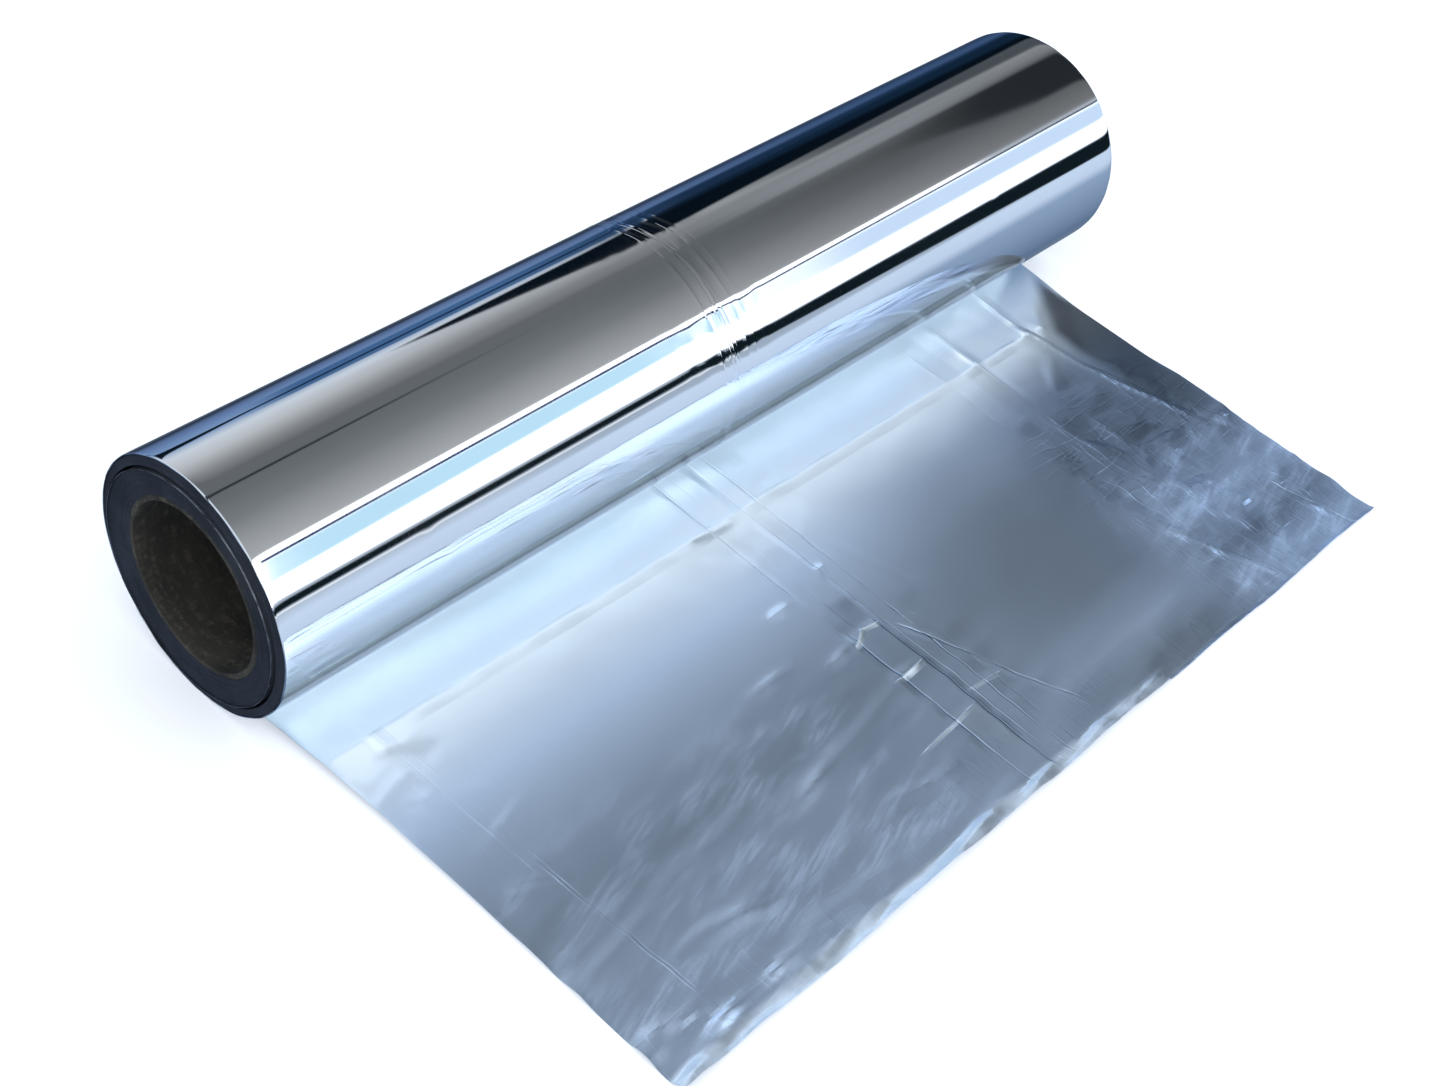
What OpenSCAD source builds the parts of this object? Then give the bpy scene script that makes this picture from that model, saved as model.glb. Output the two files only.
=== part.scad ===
// Roll of aluminium foil on a card core, lying on its side with a length of sheet drawn out.
// X runs along the roll, the sheet leaves towards -Y, and Z = 0 is the surface that it lies on.
// The origin is on that surface, under the roll's axis and half-way along it.

/* [Roll] */
// Width of the foil web, which is the length of the wound roll
web_w = 300; // [200:10:600]
// Inner diameter of the card core
core_bore_d = 42; // [25:0.5:80]
// Wall thickness of the card core
core_wall = 1.4; // [0.8:0.1:4]
// Thickness of the foil wound on the core
wound_t = 9.8; // [6:0.2:40]
// Depth of the flat that the roll's own weight presses into its underside
flat_depth = 0.15; // [0.1:0.05:0.4]

/* [Wound turns] */
// Turns that show on each end of the tight pack
pack_turns = 8; // [3:1:10]
// Turns that show on each end of the slack outer wraps
wrap_turns = 3; // [2:1:3]
// Direction in which the pack has settled inside the slack wraps, from +Y towards +Z
settle_angle = -50; // [-70:1:-30]
// Share of the wound thickness that the slack wraps and their gap take where the gap is widest
slack_side_share = 0.55; // [0.4:0.01:0.6]
// Share that the slack wraps take where the pack has settled against them
settled_side_share = 0.11; // [0.1:0.01:0.15]
// Share that the open gap between pack and wraps takes where it is widest
gap_share = 0.13; // [0.08:0.01:0.18]
// Share in which pack and wraps are one where the gap has closed
closure_share = 0.025; // [0.01:0.005:0.04]
// Share of the closest turn that the line between two turns takes
line_share = 0.33; // [0.2:0.01:0.4]
// Depth of the line between two turns on the ends
turn_line_depth = 0.5; // [0.2:0.1:2]

/* [Drawn-out sheet] */
// Length of sheet on the surface, from under the roll's axis to the front edge
sheet_l = 147; // [100:1:400]
// Thickness of the sheet
sheet_t = 0.4; // [0.2:0.05:0.8]
// How far the sheet's left edge lies inside the roll's near end
near_inset = 8.5; // [1:0.5:20]
// How far the sheet's right edge lies inside the roll's far end
far_inset = 12; // [1:0.5:20]
// Radius to which the front edge curls up
lip_r = 8; // [4:0.5:20]
// Angle through which the front edge curls up
lip_angle = 28; // [15:1:45]

/* [Creases] */
// Place of each lengthwise crease across the sheet, as a share of its width from the left edge
crease_at = [0.06, 0.435, 0.47, 0.825, 0.915];
// Start and end of each crease along the sheet, as shares of its length from under the roll's axis
crease_from = [0.24, 0.1, 0.1, 0.26, 0.14];
crease_to = [0.9, 0.84, 0.95, 0.95, 0.6];
// Width of a crease at its foot
crease_w = 1.6; // [0.8:0.1:3]
// Height of a crease above the sheet
crease_h = 0.35; // [0.2:0.05:0.8]
// Distance over which a crease dies out at each end
crease_run_out = 10; // [5:1:15]
// Which of the creases run on round the roll
wound_creases = [1, 2];

/* [Hidden] */

core_r = core_bore_d / 2 + core_wall;
roll_r = core_r + wound_t;
axis_z = roll_r - flat_depth;

// The pack and the gap round it are circles whose centres lie along the settling direction
wraps_slack_side = slack_side_share * wound_t;
wraps_settled_side = settled_side_share * wound_t;
slack_gap = gap_share * wound_t;
gap_closure = closure_share * wound_t;
pack_r = roll_r - (wraps_slack_side + wraps_settled_side) / 2;
pack_shift = (wraps_slack_side - wraps_settled_side) / 2;
gap_r = pack_r + (slack_gap - gap_closure) / 2;
gap_shift = pack_shift - (slack_gap + gap_closure) / 2;

// Rounds to a thousandth of a millimetre, so that arcs which join end at the same point
function fine(v) = round(v * 1000) / 1000;

sheet_w = web_w - near_inset - far_inset;
sheet_x = near_inset - web_w / 2;
lip_run = lip_r * sin(lip_angle);
flat_l = sheet_l - lip_run;
function crease_x(i) = sheet_x + crease_at[i] * sheet_w;

// Circles are true circles; this only sets how finely the preview draws them
$fn = 96;
// A cut runs past the solid that it cuts by this much
past = 1;
// A piece of sheet reaches into its neighbour by this much
bite = 0.1;

// Turns a profile in the roll's section, drawn about the roll's axis, into a length of roll
module along_roll(length, x = -web_w / 2) {
    translate([x, 0, axis_z])
        rotate([90, 0, 90])
            linear_extrude(length) children();
}

// The line between turns: half circles about two alternating centres, which join into a spiral
// start and end are [shift of the centre along the settling direction, radius]
// The line keeps one turn clear of the surfaces at its start and end
module turn_lines(start, end, turns) {
    settled_step = fine((end[1] + end[0] - start[1] - start[0]) / turns / 2);
    slack_step = fine((end[1] - end[0] - start[1] + start[0]) / turns / 2);
    reach = fine(line_share * min(settled_step, slack_step));
    for (half = [2 : 2 * turns - 2]) {
        settled_steps = ceil(half / 2);
        slack_steps = floor(half / 2);
        shift = fine(start[0]) + settled_steps * settled_step - slack_steps * slack_step;
        radius = fine(start[1]) + settled_steps * settled_step + slack_steps * slack_step;
        half_ring(shift, radius, reach, half % 2 == 0);
    }
}

// Half of a ring, reach wide on both sides of its radius, on one side of the settling direction
module half_ring(shift, radius, reach, upper) {
    intersection() {
        translate([shift, 0]) difference() {
            circle(radius + reach);
            circle(radius - reach);
        }
        translate([shift - 2 * radius, upper ? 0 : -2 * radius])
            square([4 * radius, 2 * radius]);
    }
}

// Section of the slack: the crescent that stays open between the settled pack and the wraps
module slack_section() {
    rotate(settle_angle) difference() {
        translate([gap_shift, 0]) circle(gap_r);
        translate([pack_shift, 0]) circle(pack_r);
    }
}

// The lines that the turns' edges draw on one end of the roll
module end_face_section() {
    rotate(settle_angle) {
        turn_lines([0, core_r], [pack_shift, pack_r], pack_turns);
        turn_lines([gap_shift, gap_r], [0, roll_r], wrap_turns);
    }
}

// A crease in the sheet: a low ridge that dies out at both ends
module sheet_crease(x, from, to) {
    length = to - from;
    translate([x, -to, sheet_t]) polyhedron(
        points = [
            [-crease_w / 2, 0, -bite], [crease_w / 2, 0, -bite],
            [crease_w / 2, length, -bite], [-crease_w / 2, length, -bite],
            [0, crease_run_out, crease_h], [0, length - crease_run_out, crease_h]
        ],
        faces = [[0, 1, 2, 3], [0, 4, 1], [1, 4, 5, 2], [2, 5, 3], [3, 5, 4, 0]]
    );
}

// The same crease where it runs round the wound roll
module roll_crease(x) {
    translate([x, 0, axis_z]) rotate([0, 90, 0]) rotate_extrude()
        polygon([
            [roll_r - bite, -crease_w / 2],
            [roll_r + crease_h / 2, 0],
            [roll_r - bite, crease_w / 2]
        ]);
}

// The sheet's side profile, flat on the surface and curled up along its front edge
module sheet_section() {
    translate([-flat_l, 0]) square([flat_l, sheet_t]);
    translate([-flat_l, lip_r]) intersection() {
        difference() {
            circle(lip_r);
            circle(lip_r - sheet_t);
        }
        polygon([[0, 0], [0, -2 * lip_r], [-2 * lip_r * tan(lip_angle), -2 * lip_r]]);
    }
}

module drawn_sheet() {
    translate([sheet_x, 0, 0]) rotate([90, 0, 90]) linear_extrude(sheet_w) sheet_section();
    for (i = [0 : len(crease_at) - 1]) {
        sheet_crease(crease_x(i), crease_from[i] * sheet_l, crease_to[i] * sheet_l);
    }
}

// The wound foil with its open slack, the core's seat and the flat underneath
module wound_roll() {
    difference() {
        union() {
            along_roll(web_w) circle(roll_r);
            for (i = wound_creases) roll_crease(crease_x(i));
        }
        along_roll(web_w + 2 * past, -web_w / 2 - past) {
            circle(core_r);
            slack_section();
        }
        along_roll(turn_line_depth + past, -web_w / 2 - past) end_face_section();
        along_roll(turn_line_depth + past, web_w / 2 - turn_line_depth) end_face_section();
        translate([-web_w, -2 * roll_r, -2 * roll_r]) cube([2 * web_w, 4 * roll_r, 2 * roll_r]);
    }
}

module foil_web() {
    color([0.76, 0.80, 0.86]) {
        wound_roll();
        drawn_sheet();
    }
}

module core_tube() {
    color([0.32, 0.28, 0.24]) along_roll(web_w) difference() {
        circle(core_r);
        circle(core_bore_d / 2);
    }
}

core_tube();
foil_web();
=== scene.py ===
"""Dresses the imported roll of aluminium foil.

The roll lies along X and the sheet is drawn out towards -Y. The outside of the roll is the
mirror-bright side of the foil, the upper face of the sheet is its satin side, and the wound
turns show as dark edges on both ends, round a core of dull card. Sizes are in millimetres
until a mesh is written, because the frame is in metres.
"""

import logging
import math
from collections.abc import Sequence
from dataclasses import dataclass
from enum import IntEnum

import bpy
import numpy as np
from mathutils import Matrix, Vector
from mathutils.geometry import delaunay_2d_cdt


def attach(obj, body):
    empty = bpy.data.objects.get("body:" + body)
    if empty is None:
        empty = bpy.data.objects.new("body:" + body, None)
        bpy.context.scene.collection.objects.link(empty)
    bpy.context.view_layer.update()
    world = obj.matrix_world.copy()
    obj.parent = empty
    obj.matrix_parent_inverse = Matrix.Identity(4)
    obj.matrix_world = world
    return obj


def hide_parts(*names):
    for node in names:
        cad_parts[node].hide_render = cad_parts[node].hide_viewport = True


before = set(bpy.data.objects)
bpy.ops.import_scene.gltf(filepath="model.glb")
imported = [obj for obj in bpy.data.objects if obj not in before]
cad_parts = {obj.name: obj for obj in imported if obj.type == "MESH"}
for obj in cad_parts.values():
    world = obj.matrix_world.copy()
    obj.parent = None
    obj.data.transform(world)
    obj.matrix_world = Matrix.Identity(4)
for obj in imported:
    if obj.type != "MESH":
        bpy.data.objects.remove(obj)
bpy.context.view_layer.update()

MM = 0.001
Colour = tuple[float, float, float]
log = logging.getLogger("foil_roll")
BLACK, WHITE = (0.0, 0.0, 0.0), (1.0, 1.0, 1.0)
# The window is brighter than white, so its second reflection, in the sheet, is still bright
WINDOW_WHITE = (1.85, 1.92, 2.0)
# The object's main sizes, in millimetres as all sizes here
ROLL_LENGTH = 300.0
ROLL_RADIUS = 32.2
AXIS_Z = 32.05
SHEET_FRONT = -147.0


def tone(code: str) -> Colour:
    """Turns a display colour such as "#8090a0" into linear values.

    Args:
        code: The colour as six hexadecimal digits after a hash.

    Returns:
        Red, green and blue as linear light.
    """
    parts = [int(code[i:i + 2], 16) / 255 for i in (1, 3, 5)]
    red, green, blue = [c / 12.92 if c <= 0.04045 else ((c + 0.055) / 1.055) ** 2.4 for c in parts]
    return red, green, blue


def drift(x: np.ndarray, y: np.ndarray, cell: float, seed: int) -> np.ndarray:
    """Gives a smooth random field, the slow unevenness of thin metal.

    Args:
        x: First coordinate of each point.
        y: Second coordinate of each point.
        cell: Length over which the field changes.
        seed: Number that picks the field.

    Returns:
        A value from about -1 to 1 for each point.
    """
    turn = np.random.default_rng(seed).uniform(0, 2 * math.pi, (64, 64))
    u, v = np.asarray(x, float) / cell, np.asarray(y, float) / cell
    i, j = np.floor(u).astype(int), np.floor(v).astype(int)
    fu, fv = u - i, v - j

    def corner(di: int, dj: int) -> np.ndarray:
        """The pull of one lattice corner on the point."""
        angle = turn[(i + di) % 64, (j + dj) % 64]
        return np.cos(angle) * (fu - di) + np.sin(angle) * (fv - dj)

    ease_u = fu ** 3 * (fu * (fu * 6 - 15) + 10)
    ease_v = fv ** 3 * (fv * (fv * 6 - 15) + 10)
    low = corner(0, 0) * (1 - ease_u) + corner(1, 0) * ease_u
    high = corner(0, 1) * (1 - ease_u) + corner(1, 1) * ease_u
    return 1.5 * (low * (1 - ease_v) + high * ease_v)


def ramp(value: np.ndarray, low: float, high: float) -> np.ndarray:
    """Rises smoothly from 0 at low to 1 at high, or falls where high is the smaller."""
    t = np.clip((value - low) / (high - low), 0, 1)
    return t * t * (3 - 2 * t)


def crumpled(x: np.ndarray, y: np.ndarray, corners: tuple[float, float, float, float], cell: float,
             seed: int) -> np.ndarray:
    """Gives flat facets that meet in sharp creases, as crumpled foil has.

    Args:
        x: First coordinate of each point.
        y: Second coordinate of each point.
        corners: Lowest x and y and highest x and y of the crumpled patch.
        cell: Usual size of a facet.
        seed: Number that picks the facets.

    Returns:
        A height from -1 to 1 for each point, 0 outside the patch.
    """
    x0, y0, x1, y1 = corners
    dice = np.random.default_rng(seed)
    columns, rows = max(int((x1 - x0) / cell), 2), max(int((y1 - y0) / cell), 2)
    knots, heights = [], []
    for i in range(columns + 1):
        for j in range(rows + 1):
            rim = i in (0, columns) or j in (0, rows)
            jitter = (0.0, 0.0) if rim else dice.uniform(-0.45, 0.45, 2)
            knots.append(Vector((x0 + (i + jitter[0]) * (x1 - x0) / columns,
                                 y0 + (j + jitter[1]) * (y1 - y0) / rows)))
            heights.append(0.0 if rim else dice.uniform(-1, 1))
    mesh = delaunay_2d_cdt(knots, [], [], 0, 1e-6)
    points, triangles, origin = mesh[0], mesh[2], mesh[3]
    height = [heights[origin[k][0]] if origin[k] else 0.0 for k in range(len(points))]
    found = np.zeros_like(x)
    for a, b, c in triangles:
        (ax, ay), (bx, by), (cx, cy) = points[a], points[b], points[c]
        across = (x >= min(ax, bx, cx)) & (x <= max(ax, bx, cx))
        near = np.nonzero(across & (y >= min(ay, by, cy)) & (y <= max(ay, by, cy)))[0]
        area = (by - cy) * (ax - cx) + (cx - bx) * (ay - cy)
        if len(near) == 0 or abs(area) < 1e-9:
            continue
        u = ((by - cy) * (x[near] - cx) + (cx - bx) * (y[near] - cy)) / area
        v = ((cy - ay) * (x[near] - cx) + (ax - cx) * (y[near] - cy)) / area
        inside = (u >= -1e-9) & (v >= -1e-9) & (u + v <= 1 + 1e-9)
        mix = u * height[a] + v * height[b] + (1 - u - v) * height[c]
        found[near[inside]] = mix[inside]
    return found


# ---------------------------------------------------------------- node helpers


class Wiring:
    """Adds and links the nodes of one material, world or node group."""

    def __init__(self, tree: bpy.types.NodeTree) -> None:
        """Keeps the tree that the nodes go into."""
        self.tree = tree

    def add(self, kind: str, **settings: object) -> bpy.types.Node:
        """Adds a node of the named kind and sets its properties."""
        node = self.tree.nodes.new(kind)
        for name, value in settings.items():
            setattr(node, name, value)
        return node

    def feed(self, socket: bpy.types.NodeSocket, value: object) -> None:
        """Links a socket to another socket, or sets it to a plain value."""
        if isinstance(value, bpy.types.NodeSocket):
            self.tree.links.new(value, socket)
        else:
            socket.default_value = value

    def math(self, operation: str, *values: object, clamp: bool = False) -> bpy.types.NodeSocket:
        """Adds a Math node and returns its result."""
        node = self.add("ShaderNodeMath", operation=operation, use_clamp=clamp)
        for socket, value in zip(node.inputs, values):
            self.feed(socket, value)
        return node.outputs[0]

    def span(self, value: object, low: object, high: object, start: object = 0.0, end: object = 1.0,
             smooth: bool = True) -> bpy.types.NodeSocket:
        """Maps a value from one span to another, held at both ends.

        Args:
            value: What is mapped.
            low: Value that gives start.
            high: Value that gives end.
            start: Result at low.
            end: Result at high.
            smooth: Whether the passage eases in and out.

        Returns:
            The mapped value.
        """
        node = self.add("ShaderNodeMapRange", interpolation_type="SMOOTHSTEP" if smooth else "LINEAR")
        for socket, item in zip(node.inputs, (value, low, high, start, end)):
            self.feed(socket, item)
        return node.outputs["Result"]

    def times(self, first: object, *others: object) -> bpy.types.NodeSocket:
        """Multiplies values in their order."""
        product = first
        for value in others:
            product = self.math("MULTIPLY", product, value)
        return product

    def place(self) -> bpy.types.NodeSocket:
        """Gives the object's own coordinates, in metres."""
        return self.add("ShaderNodeTexCoord").outputs["Object"]

    def parts(self, vector: object) -> tuple[bpy.types.NodeSocket, ...]:
        """Splits a vector into x, y and z."""
        node = self.add("ShaderNodeSeparateXYZ")
        self.feed(node.inputs[0], vector)
        return tuple(node.outputs)

    def blend(self, factor: object, first: object, second: object, kind: str = "MIX") -> bpy.types.NodeSocket:
        """Mixes two colours and returns the result."""
        node = self.add("ShaderNodeMix", data_type="RGBA", blend_type=kind)
        self.feed(node.inputs[0], factor)
        for socket, value in ((node.inputs[6], first), (node.inputs[7], second)):
            self.feed(socket, value if isinstance(value, bpy.types.NodeSocket) else (*value, 1.0))
        return node.outputs[2]

    def lookup(self, share: object, marks: Sequence[tuple[float, Colour]]) -> bpy.types.NodeSocket:
        """Gives a colour from a list of marks, blended between them.

        Args:
            share: How far from the first mark to the last, from 0 to 1.
            marks: Place and colour of each mark, in order.

        Returns:
            The colour.
        """
        node = self.add("ShaderNodeValToRGB")
        self.feed(node.inputs[0], share)
        stops = node.color_ramp.elements
        first, last = marks[0][0], marks[-1][0]
        for place, colour in marks[1:-1]:
            stops.new((place - first) / (last - first)).color = (*colour, 1.0)
        stops[0].color = (*marks[0][1], 1.0)
        stops[-1].color = (*marks[-1][1], 1.0)
        return node.outputs[0]

    def noise(self, vector: object, scale: float, detail: float = 2.0,
              rough: float = 0.5) -> bpy.types.NodeSocket:
        """Adds a Noise Texture and returns its value."""
        node = self.add("ShaderNodeTexNoise")
        self.feed(node.inputs["Vector"], vector)
        node.inputs["Scale"].default_value = scale
        node.inputs["Detail"].default_value = detail
        node.inputs["Roughness"].default_value = rough
        return node.outputs["Fac"]

    def stretch(self, vector: object, scale: tuple[float, float, float]) -> bpy.types.NodeSocket:
        """Scales the coordinates that a pattern reads, each way by itself."""
        node = self.add("ShaderNodeMapping")
        self.feed(node.inputs["Vector"], vector)
        node.inputs["Scale"].default_value = scale
        return node.outputs["Vector"]

    def grain(self, vector: object, length: float, lean: float) -> bpy.types.NodeSocket:
        """Turns the coordinates by lean and makes a pattern run length times longer that way."""
        node = self.add("ShaderNodeMapping", vector_type="TEXTURE")
        self.feed(node.inputs["Vector"], vector)
        node.inputs["Scale"].default_value = (length, 1.0, 1.0)
        node.inputs["Rotation"].default_value = (0.0, 0.0, lean)
        return node.outputs["Vector"]

    def backdrop(self, colour: object) -> bpy.types.NodeSocket:
        """Adds a Background shader of full strength and returns it."""
        node = self.add("ShaderNodeBackground")
        self.feed(node.inputs["Color"], colour)
        return node.outputs[0]

    def bump(self, height: object, depth_mm: float, under: object = None) -> bpy.types.NodeSocket:
        """Adds a Bump node whose full height is the given depth."""
        node = self.add("ShaderNodeBump")
        node.inputs["Distance"].default_value = depth_mm * MM
        self.feed(node.inputs["Height"], height)
        if under is not None:
            self.feed(node.inputs["Normal"], under)
        return node.outputs["Normal"]


def new_finish(name: str) -> tuple[bpy.types.Material, Wiring, bpy.types.Node]:
    """Makes an empty material with its shader.

    Args:
        name: Name of the finish.

    Returns:
        The material, the wiring of its nodes, and its Principled shader.
    """
    material = bpy.data.materials.new(name)
    material.use_nodes = True
    wiring = Wiring(material.node_tree)
    shader = material.node_tree.nodes["Principled BSDF"]
    return material, wiring, shader


# -------------------------------------------------------------------- finishes


@dataclass(frozen=True)
class MirrorFoil:
    """The bright side of the foil: rolled to a mirror, with a trace of the rolling lines.

    The belly colours give, by height, painted shade on the roll's lower front where it mirrors the sheet,
    multiplied into its colour for camera rays only; their bands draw the sheet's mirror image as a
    painted reflection. Each of creases is the place of a crisp line along the roll and its share of the
    full depth.
    """

    base: Colour = (0.965, 0.97, 0.98)
    roughness: float = 0.05
    line_depth_mm: float = 0.0006
    # Painted shade and painted reflection: by height, these colours darken the roll's lower front where it
    # mirrors the sheet
    painted_belly_shade: tuple[tuple[float, Colour], ...] = (
        (10, (0.60, 0.66, 0.75)), (16.9, (0.36, 0.43, 0.55)), (19.0, (0.21, 0.27, 0.37)),
        (21.0, (0.17, 0.21, 0.28)), (23.2, (0.30, 0.38, 0.47)), (25.4, (0.82, 0.96, 1.0)),
        (27.6, (0.60, 0.71, 0.83)), (29.8, (0.63, 0.71, 0.78)), (32.0, (0.65, 0.69, 0.72)),
        (34.3, (0.78, 0.78, 0.77)), (36.5, (0.82, 0.78, 0.77)), (38.7, (1.0, 0.98, 0.94)), (42, WHITE))
    painted_shade_slant: float = 2.55
    painted_shade_end: float = 0.1695
    creases: tuple[tuple[float, float], ...] = (
        (-13.4, 0.30), (-11.6, 0.12), (-10.2, 0.9), (-9.1, 0.5), (-7.8, 0.2), (-4.4, 0.30), (-1.6, 0.12))
    crease_span: tuple[float, float] = (-20.0, 6.0)
    crease_width: float = 0.22
    crease_depth_mm: float = 0.06

    def build(self) -> bpy.types.Material:
        """Makes the material."""
        material, w, shader = new_finish("foil_mirror")
        place = w.place()
        along, forward, height = w.parts(place)
        cloud = w.noise(place, 28.0, 3.0, 0.55)
        body = w.blend(w.span(cloud, 0.3, 0.7), self.base, tuple(c * 0.975 for c in self.base))
        low, high = self.painted_belly_shade[0][0] * MM, self.painted_belly_shade[-1][0] * MM
        painted_belly_shade = w.lookup(w.span(height, low, high, smooth=False), self.painted_belly_shade)
        # The painted shade that draws the sheet's mirror image ends on a slant near the roll's far end
        slant = w.math("MULTIPLY_ADD", height, self.painted_shade_slant, w.math("SUBTRACT", along, self.painted_shade_end))
        front = w.times(w.span(slant, 0.003, -0.009), w.span(forward, -0.004, -0.014))
        # Painted shade, seen by the camera only: the belly colours multiply the base colour
        seen = w.times(w.add("ShaderNodeLightPath").outputs["Is Camera Ray"], front)
        w.feed(shader.inputs["Base Color"], w.blend(seen, body, painted_belly_shade, "MULTIPLY"))
        w.feed(shader.inputs["Roughness"], w.span(cloud, 0.25, 0.75, self.roughness * 0.7, self.roughness * 1.3))
        rolling_lines = w.noise(w.stretch(place, (1.0, 0.04, 0.04)), 900.0, 3.0, 0.6)
        normal = w.bump(self.crease_lines(w, place, along), self.crease_depth_mm)
        w.feed(shader.inputs["Normal"], w.bump(rolling_lines, self.line_depth_mm, normal))
        shader.inputs["Metallic"].default_value = 1.0
        return material

    def crease_lines(self, w: Wiring, place: object, along: object) -> bpy.types.NodeSocket:
        """Gives the height of the crisp lines that run round the roll, strayed and worn down a little."""
        stray = w.noise(w.stretch(place, (0.0, 1.0, 1.0)), 60.0, 2.0, 0.6)
        start, end = self.crease_span
        share = w.span(w.math("MULTIPLY_ADD", stray, 0.0016, along), start * MM, end * MM, smooth=False)
        marks = [(start, BLACK)]
        for spot, height in self.creases:
            for away, level in ((-self.crease_width, 0.0), (0.0, height), (self.crease_width, 0.0)):
                marks.append((spot + away, (level, level, level)))
        worn = w.span(w.noise(w.stretch(place, (3.0, 1.0, 1.0)), 70.0, 2.0, 0.6), 0.38, 0.62, 0.15, 1.0)
        return w.times(w.lookup(share, marks + [(end, BLACK)]), worn)


@dataclass(frozen=True)
class Pleats:
    """Creases that run side by side: crisp lines with flat panels between them, each tilted in its own way.

    The lines start at origin and run for length towards the front, leaning sideways by lean degrees.
    Each stop is a place across the lines and the height there, both in millimetres.
    """

    origin: tuple[float, float]
    length: float
    lean: float
    stops: tuple[tuple[float, float], ...]
    fade: float = 0.12


def ridge(place: float, height: float, width: float = 0.3, step: float = 0.0) -> tuple[tuple[float, float], ...]:
    """Gives the three stops of one crisp line, its far side higher than its near side by step."""
    return (place - width, -step / 2), (place, height), (place + width, step / 2)


@dataclass(frozen=True)
class SatinFoil:
    """The matt side of the foil: satin metal with fine rolling grain, crisp creases and small dents, with painted
    highlights and painted shade in its colour.

    worn_by_distance gives by distance from the roll how worn the foil is at the left, the middle
    and the right. Places across and along the sheet are in metres in the methods, as its
    coordinates are, and each pair is where a passage starts and ends.
    """

    pleats: tuple[Pleats, ...] = ()
    base: Colour = (0.63, 0.77, 0.97)
    pale: Colour = (0.70, 0.83, 1.00)
    # A painted highlight: laid near the roll, on the curled lip and on the crease crests
    painted_highlight: Colour = (0.85, 0.935, 1.00)
    # Painted shade: a darker, bluer colour for the right part of the sheet
    right_painted_shade: Colour = (0.55, 0.71, 0.97)
    # shade is painted shade, for the far back corner and the crease feet
    shade: Colour = (0.10, 0.15, 0.25)
    scatter: float = 0.55
    worn_by_distance: tuple[tuple[float, Colour], ...] = (
        (0, BLACK), (20, (0.00, 0.00, 0.10)), (26, (0.00, 0.03, 0.50)), (32, (0.12, 0.10, 0.34)),
        (36, (0.20, 0.12, 0.12)), (41, (0.46, 0.38, 0.30)), (46, (0.74, 0.51, 0.38)), (52, (0.94, 0.58, 0.32)),
        (60, (0.92, 0.38, 0.12)), (70, (0.60, 0.24, 0.05)), (80, (0.36, 0.12, 0.00)), (90, (0.21, 0.09, 0.03)),
        (100, (0.12, 0.10, 0.22)), (115, (0.24, 0.12, 0.50)), (130, (0.24, 0.40, 0.14)),
        (140, (0.33, 0.12, 0.52)), (147, (0.33, 0.12, 0.52)))
    left_to_middle: tuple[float, float] = (-0.016, 0.046)
    middle_to_right: tuple[float, float] = (0.058, 0.096)
    lip_across: tuple[float, float] = (0.046, 0.022)
    roughness: float = 0.305
    roughness_by_roll: float = 0.292
    grain_depth_mm: float = 0.008
    brushed_depth_mm: float = 0.05
    tick_depth_mm: float = 0.055
    crease_depth_mm: float = 0.75

    def pleat_height(self, w: Wiring, place: object, pleats: Pleats) -> bpy.types.NodeSocket:
        """Gives the height of one group of creases.

        Args:
            w: Wiring of the material.
            place: Coordinates in metres.
            pleats: The creases.

        Returns:
            Their height in millimetres, 0 away from them.
        """
        first, last = pleats.stops[0][0], pleats.stops[-1][0]
        tallest = max(abs(h) for _, h in pleats.stops)
        local = w.add("ShaderNodeMapping", vector_type="TEXTURE")
        w.feed(local.inputs["Vector"], place)
        lean = math.radians(pleats.lean)
        corner = Vector((pleats.origin[0] + first * math.cos(lean),
                         pleats.origin[1] + first * math.sin(lean), 0.0))
        local.inputs["Location"].default_value = corner * MM
        local.inputs["Rotation"].default_value = (0.0, 0.0, lean)
        local.inputs["Scale"].default_value = ((last - first) * MM, -pleats.length * MM, 1.0)
        across, run, _ = w.parts(local.outputs[0])
        profile = w.lookup(across, [(spot, (0.5 + 0.5 * height / tallest,) * 3) for spot, height in pleats.stops])
        fade = w.math("MINIMUM", w.span(run, 0.0, pleats.fade), w.span(run, 1.0, 1.0 - pleats.fade))
        return w.times(w.math("MULTIPLY_ADD", profile, 2 * tallest, -tallest), fade)

    def build(self) -> bpy.types.Material:
        """Makes the material."""
        material, w, shader = new_finish("foil_satin")
        place = w.place()
        across, along, _ = w.parts(place)
        cloud = w.noise(place, 18.0, 2.0, 0.5)
        heights = self.crease_heights(w, place)
        crest: object = 0.0
        for height in heights:
            crest = w.math("ADD", height, crest)
        corner = self.far_corner(w, across, along)
        w.feed(shader.inputs["Base Color"], self.tint(w, across, along, cloud, corner, crest))
        worn = w.times(self.worn_share(w, place, across, along), w.math("SUBTRACT", 1.0, corner))
        folded = w.math("MULTIPLY", w.math("SUBTRACT", crest, 0.25), 2.2, clamp=True)
        bare = w.math("MAXIMUM", worn, folded)
        w.feed(shader.inputs["Metallic"], w.math("MULTIPLY_ADD", bare, -self.scatter, 1.0))
        rough = w.span(along, -0.046, -0.037, self.roughness, self.roughness_by_roll)
        w.feed(shader.inputs["Roughness"], w.times(rough, w.span(cloud, 0.2, 0.8, 0.96, 1.06)))
        w.feed(shader.inputs["Normal"], self.surface(w, place, across, along, heights))
        return material

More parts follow.
